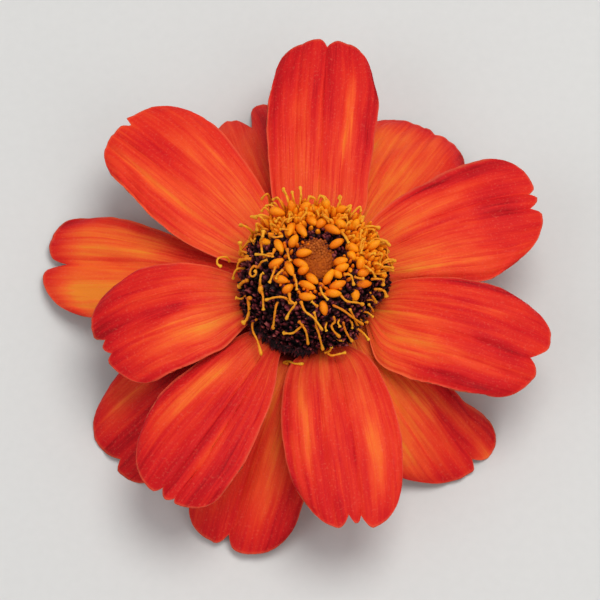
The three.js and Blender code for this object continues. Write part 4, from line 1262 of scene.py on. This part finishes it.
def add_tufts(soup):
    for out, r in spread(*TUFTS, TUFT_SHIFT):
        bend = sideways(out) * rng.normal(0, 0.35)
        foot = on_dome(out, r, -0.2)
        high = 1.1 + 0.4 * rng.random()
        points = [
            foot,
            foot + out * 0.1 + UP * high,
            foot + out * 0.5 + bend + UP * (high + 0.15),
            foot + out * 0.85 + bend * 1.6 + UP * (high - 0.25),
        ]
        add_thread(soup, points, rng.random())


def add_far_threads(soup):
    low, high = FAR_THREAD_LEVELS
    flank = DOME[::-1][2:]
    for k in range(FAR_THREADS):
        turn = turn_within(FAR_THREAD_TURNS, (k + 0.5) / FAR_THREADS) + rng.normal(0, 0.03)
        z = low + (high - low) * rng.random()
        r = np.interp(z, flank[:, 1], flank[:, 0])
        twist = rng.normal(0, 0.10)
        points = [
            outward(turn) * (r - 0.2) + UP * z,
            outward(turn + twist * 0.4) * (r + 0.7) + UP * (z + 0.35),
            outward(turn + twist) * (r + 1.1) + UP * (z - 0.25),
            outward(turn + twist * 1.4) * (r + 1.0 + 0.5 * rng.random())
            + UP * max(z - 1.1 - rng.random(), FAR_THREAD_LOW),
        ]
        add_thread(soup, points, rng.random())


def build_florets():
    soup = Soup()
    for grain in GRAINS:
        add_plump_grain(soup, *grain)
    x0, y0, x1, y1, lift = SLENDER
    foot, end = seen(x0, y0, lift, GRAIN_GRID), seen(x1, y1, lift, GRAIN_GRID)
    add_grain(soup, foot, end, SLENDER_RADIUS, SLENDER_KIND, SLENDER_TONE)
    add_half_open_grains(soup)
    add_threads(soup, THREADS, seen, rise=THREAD_RISE)
    short = [(places, SHORT_HEIGHTS) for places in SHORT_THREADS]
    add_threads(soup, short, seen, wide=SHORT_WIDE)
    add_threads(soup, THICK_THREADS, seen, rise=THREAD_RISE, wide=THICK)
    add_thread(soup, [on_petal(x, y, LOOSE_LIFT) for x, y in LOOSE_THREAD], LOOSE_TONE)
    add_threads(soup, FRINGE, at_level, with_foot=True)
    add_threads(soup, CURLS, seen, GRAIN_GRID)
    add_threads(soup, RIM_CURLS, at_level, GRAIN_GRID, with_foot=True)
    add_tufts(soup)
    add_far_threads(soup)
    return soup.build("disc_florets_fine")


def floret_material():
    m = Nodes("florets")
    kind, place, tone = m.value("kind"), m.value("place"), m.value("tone")
    blotch = m.noise(m.place(), 900.0, 2.0, 0.5)
    grain = m.noise(m.place(), 5200.0, 2.0, 0.6)
    shade = m.scaled(blotch, 0.45, m.times(tone, 0.20))
    # level lightens each floret towards its top and darkens it towards its bottom: painted light and shade;
    # blotch and tone vary at random
    shade = m.scaled(m.value("level"), 0.42, m.plus(shade, -0.16))
    plump = m.ramp(m.scaled(place, 0.26, m.plus(shade, -0.07)), [
        (0.12, (0.60, 0.082, 0.001)),
        (0.42, (0.87, 0.18, 0.002)),
        (0.72, (0.96, 0.31, 0.003)),
    ])
    half_open = m.ramp(m.scaled(place, 0.35, shade), [
        (0.2, (0.50, 0.070, 0.002)),
        (0.55, (0.80, 0.16, 0.003)),
        (0.9, (0.93, 0.29, 0.005)),
    ])
    thread = m.ramp(m.scaled(place, 0.40, m.plus(shade, -0.10)), [
        (0.10, (0.58, 0.12, 0.007)),
        (0.45, (0.82, 0.26, 0.010)),
        (0.85, (0.93, 0.45, 0.028)),
    ])
    colour = m.mix(m.times(kind, 2.0, clamp=True), plump, half_open)
    colour = m.mix(m.scaled(kind, 2.0, -1.0, clamp=True), colour, thread)
    normal = m.bump(m.scaled(blotch, 0.6, grain), 0.00006, 0.5)
    return m.surface(colour, m.scaled(blotch, 0.2, 0.36), normal, Specular_IOR_Level=0.14,
                     Subsurface_Weight=0.10, Subsurface_Scale=0.0005, Subsurface_Radius=(1.0, 0.4, 0.05))


finish_piece(build_florets(), floret_material(), "florets", "disc_florets")


# Closed buds in the middle of the disc, a little to the back of its axis, on a low boss
BOSS_SHIFT = (0.0, 0.55)
BOSS_HALF = (2.15, 2.6)
BOSS_TOP = 17.52
BOSS_SIDES = 40
BUDS = (80, 170)
BUD_SIDES = 8
BUD_RADII = np.array([0, 0.13, 0.15, 0.14, 0.09, 0])

# Share of the half width, and level
BOSS_PROFILE = [
    (0.0, 16.4), (0.93, 16.4), (1.0, 16.7), (0.93, 17.1), (0.72, 17.38), (0.4, 17.5), (0.0, BOSS_TOP),
]


def boss_spot(share, turn, z):
    return np.array([share * BOSS_HALF[0] * math.cos(turn) + BOSS_SHIFT[0],
                     share * BOSS_HALF[1] * math.sin(turn) + BOSS_SHIFT[1], z])


def build_buds():
    soup = Soup()
    points, faces = turned(BOSS_PROFILE, BOSS_SIDES, boss_spot)
    soup.add(points, faces, tone=0.5, tip=0.3, far=[float(smooth(p[1], -0.4, 2.0)) for p in points])
    count = quick_or_full(BUDS)
    for k in range(count):
        share = math.sqrt((k + 0.5) / count)
        turn = k * GOLDEN_TURN
        base = boss_spot(share, turn, BOSS_TOP - 0.6 * share ** 3)
        lean = share * (0.4 + 0.5 * smooth(base[1], 0.3, 2.0))
        way = unit(outward(turn) * lean + UP + rng.normal(0, 0.12, 3))
        # the far ones are longer, and have colours of their own
        far = float(smooth(base[1] + 0.35 * rng.normal(), -0.2, 2.0))
        size = 0.07 + 0.05 * rng.random() + 0.28 * far
        path = curve_through([base - way * 0.2, base + way * size * 0.4, base + way * size], len(BUD_RADII))
        wide = 1.6 - 0.2 * far + 0.3 * rng.random()
        points, faces = tube(path, BUD_RADII * wide, BUD_SIDES)
        tip = per_ring([0.2, 0.5, 0.8, 0.95], BUD_SIDES)
        soup.add(points, faces, tone=rng.random(), tip=tip, far=far)
    return soup.build("disc_buds_fine")


def bud_material():
    m = Nodes("buds")
    tone, tip, far = m.value("tone"), m.value("tip"), m.value("far")
    grain = m.noise(m.place(), 3400.0, 3.0, 0.6)
    shade = m.scaled(tip, 0.4, m.times(m.plus(tone, grain), 0.30))
    near_colour = m.ramp(shade, [
        (0.15, (0.17, 0.023, 0.001)),
        (0.5, (0.31, 0.049, 0.001)),
        (0.85, (0.46, 0.088, 0.002)),
    ])
    far_colour = m.ramp(shade, [
        (0.15, (0.07, 0.011, 0.004)),
        (0.5, (0.24, 0.040, 0.005)),
        (0.85, (0.50, 0.12, 0.016)),
    ])
    colour = m.mix(far, near_colour, far_colour)
    normal = m.bump(grain, 0.00008, 0.7)
    return m.surface(colour, m.scaled(grain, 0.25, 0.5), normal, Specular_IOR_Level=0.12)


finish_piece(build_buds(), bud_material(), "buds", "disc_buds")


# Green cup of overlapping bracts, over a closed core
CUP_BOTTOM = 2.0
CUP_TOP = 8.0
CUP_RADIUS = 6.5
CUP_FOOT_RADIUS = 2.3
CUP_CLEAR = 0.02
CUP_SIDES = 64
CUP_SHARES = (0.0, 0.04, 0.1, 0.2, 0.38, 0.6, 0.82, 0.96, 1.0)
BRACT_ROWS = [
    dict(count=8, low=2.15, high=4.7, half=2.0, lift=0.5),
    dict(count=9, low=3.3, high=6.4, half=2.3, lift=0.4),
    dict(count=10, low=4.8, high=7.8, half=2.4, lift=0.25),
]
BRACT_ALONG = (10, 22)
BRACT_ACROSS = (9, 21)


def cup_radius(z):
    q = np.clip((z - CUP_BOTTOM) / (CUP_TOP - CUP_BOTTOM), 0, 1)
    bulge = np.sin(np.minimum(q * 1.25, 1) * math.pi / 2) ** 0.85
    return CUP_FOOT_RADIUS + (CUP_RADIUS - CUP_FOOT_RADIUS) * bulge


def cup_profile():
    """Radius and level of the core, which is drawn in at its top."""
    profile = [(0, CUP_BOTTOM + CUP_CLEAR)]
    for q in CUP_SHARES:
        z = CUP_BOTTOM + CUP_CLEAR + (CUP_TOP - CUP_BOTTOM - 2 * CUP_CLEAR) * q
        profile.append((cup_radius(z) - (0.3 if q >= 1 else 0.02), z))
    return profile + [(0, CUP_TOP - CUP_CLEAR)]


def add_bract(soup, row, turn, seed):
    """A round bract that lies against the cup and lifts off it towards its fringed tip."""
    rows, columns = quick_or_full(BRACT_ALONG), quick_or_full(BRACT_ACROSS)
    u = np.linspace(0, 1, rows)[:, None] * np.ones((1, columns))
    a = np.ones((rows, 1)) * np.linspace(-1, 1, columns)[None, :]
    t = np.sin(a * math.pi / 2)
    reach = u * (1 - 0.32 * (1 - np.cos(a * math.pi / 2)) * u ** 2)
    z = row["low"] + (row["high"] - row["low"]) * reach
    z = z - 0.05 * np.abs(np.sin(a * 21 + seed)) * smooth(u, 0.9, 1.0)
    base = cup_radius(z) + row["lift"] * reach ** 2 + 0.05 * wander(u * 4, seed)
    half = row["half"] * (0.62 + 0.38 * np.sin(np.minimum(u, 0.75) * 2.1))
    angle = turn - t * half / np.maximum(base, 3)
    keel = 0.05 * np.exp(-(t / 0.12) ** 2)
    outer = base + 0.65 * (0.85 - 0.35 * t * t) + keel - 0.03 * np.cos(t * 22) * smooth(u, 0.1, 0.4)
    outer = outer - 0.20 * smooth(u, 0.9, 1.0) - 0.18 * smooth(np.abs(t), 0.85, 1.0)
    inner = np.maximum(base - 0.5, outer - 0.75)
    inner = np.minimum(inner, outer - 0.12)
    points = np.concatenate([
        np.stack([radius * np.cos(angle), radius * np.sin(angle), z], -1).reshape(-1, 3)
        for radius in (outer, inner)
    ])
    along, across = (np.concatenate([values.ravel()] * 2) for values in (reach, t))
    soup.add(points, blade_faces(rows, columns), along=along, across=across, seed=seed)


def build_cup():
    soup = Soup()
    soup.add(*turned(cup_profile(), CUP_SIDES, ring_spot), along=0.2, across=0.0, seed=0.0)
    for r, row in enumerate(BRACT_ROWS):
        for k in range(row["count"]):
            turn = (k + 0.5 * (r % 2)) / row["count"] * 2 * math.pi + rng.normal(0, 0.03)
            add_bract(soup, row, turn, rng.random() * 9)
    return soup.build("involucre_fine")


def cup_material():
    m = Nodes("bracts")
    along, across, seed = m.value("along"), m.value("across"), m.value("seed")
    veins = m.noise(m.combine(m.times(along, 2.0), m.times(across, 12.0), seed), 1.0, 3.0, 0.6)
    grain = m.noise(m.place(), 2400.0, 3.0, 0.6)
    green = m.ramp(veins, [
        (0.25, (0.045, 0.085, 0.014)),
        (0.55, (0.10, 0.17, 0.03)),
        (0.8, (0.20, 0.27, 0.06)),
    ])
    side = m.math("POWER", m.math("ABSOLUTE", across), 6.0)
    rim = m.plus(m.times(side, 0.8), m.math("POWER", along, 14.0))
    rim = m.plus(rim, m.times(m.minus(grain, 0.5), 0.8), clamp=True)
    colour = m.mix(rim, green, (0.020, 0.008, 0.006))
    normal = m.bump(m.plus(veins, m.times(grain, 0.4)), 0.00012, 0.6)
    return m.surface(colour, m.scaled(grain, 0.25, 0.4), normal, Specular_IOR_Level=0.4)


finish_piece(build_cup(), cup_material(), "bracts", "involucre")


# Cut stub of the stem, with ten low ribs, and a paler cut end
STEM_PROFILE = [
    (0.0, 0.66), (0.7, 0.62), (1.3, 0.58), (1.95, 0.45), (2.14, 0.42), (2.24, 0.55), (2.22, 0.9), (2.28, 1.3),
    (2.3, 1.66), (0.0, 1.69),
]
STEM_SIDES = 60
STEM_RIBS = 10
STEM_RIB = 0.018
CUT_RADIUS = 1.9
CUT_LEVEL = 0.6


def stem_spot(radius, turn, z):
    ribs = STEM_RIB * math.cos(STEM_RIBS * turn) if radius > CUT_RADIUS else 0
    return ring_spot(radius * (1 + ribs), turn, z)


def build_stem():
    soup = Soup()
    points, faces = turned(STEM_PROFILE, STEM_SIDES, stem_spot)
    cut = [float(z < CUT_LEVEL or math.hypot(x, y) < CUT_RADIUS) for x, y, z in points]
    soup.add(points, faces, cut=cut)
    return soup.build("stem_stub_fine")


def stem_material():
    m = Nodes("stem")
    grain = m.noise(m.place(), 1500.0, 3.0, 0.6)
    outside = m.ramp(grain, [
        (0.3, (0.10, 0.16, 0.035)),
        (0.7, (0.22, 0.28, 0.07)),
    ])
    flesh = m.ramp(grain, [
        (0.3, (0.36, 0.42, 0.16)),
        (0.7, (0.55, 0.58, 0.30)),
    ])
    colour = m.mix(m.value("cut"), outside, flesh)
    normal = m.bump(grain, 0.0001, 0.6)
    return m.surface(colour, m.scaled(grain, 0.2, 0.5), normal, Specular_IOR_Level=0.35)


finish_piece(build_stem(), stem_material(), "stem", "stem_stub")


# Floor, just under the lowest tips, with sizes in millimetres, and its height in metres
FLOOR_HALF = 1500.0
FLOOR_LEVEL = -0.00002


def make_floor():
    corners = [(-FLOOR_HALF, -FLOOR_HALF, 0), (FLOOR_HALF, -FLOOR_HALF, 0),
               (FLOOR_HALF, FLOOR_HALF, 0), (-FLOOR_HALF, FLOOR_HALF, 0)]
    obj = make_object("floor", corners, [(0, 1, 2, 3)])
    obj.location.z = FLOOR_LEVEL
    m = Nodes("floor")
    grain = m.noise(m.place(), 900.0, 3.0, 0.5)
    colour = m.ramp(grain, [(0.3, (0.675, 0.67, 0.655)), (0.7, (0.69, 0.685, 0.67))])
    obj.data.materials.append(m.surface(colour, 0.8))


# Lights: places and sizes in metres, power in watts
LIGHTS = [
    dict(name="key", place=(0.13, 0.12, 0.58), size=0.42, power=2.15, colour=(1.0, 0.99, 0.97)),
    dict(name="fill", place=(-0.45, -0.25, 0.45), size=0.5, power=0.6, colour=(0.97, 0.98, 1.0)),
    dict(name="front", place=(0.32, -0.36, 0.42), size=0.5, power=0.45, colour=(1.0, 0.99, 0.98)),
]
LIGHT_AIM = (0, 0, 0.01)
SKY_COLOUR = (0.97, 0.98, 1.0, 1)
SKY_STRENGTH = 0.425


def area_light(name, place, size, power, colour):
    light = bpy.data.lights.new(name, "AREA")
    light.shape = "DISK"
    light.size = size
    light.energy = power
    light.color = colour
    obj = bpy.data.objects.new(name, light)
    bpy.context.scene.collection.objects.link(obj)
    obj.location = Vector(place)
    obj.rotation_mode = "QUATERNION"
    obj.rotation_quaternion = (Vector(LIGHT_AIM) - Vector(place)).to_track_quat("-Z", "Y")


def make_sky():
    world = bpy.data.worlds.new("world")
    bpy.context.scene.world = world
    world.use_nodes = True
    background = world.node_tree.nodes["Background"]
    background.inputs[0].default_value = SKY_COLOUR
    background.inputs[1].default_value = SKY_STRENGTH


make_floor()
for light in LIGHTS:
    area_light(**light)
make_sky()
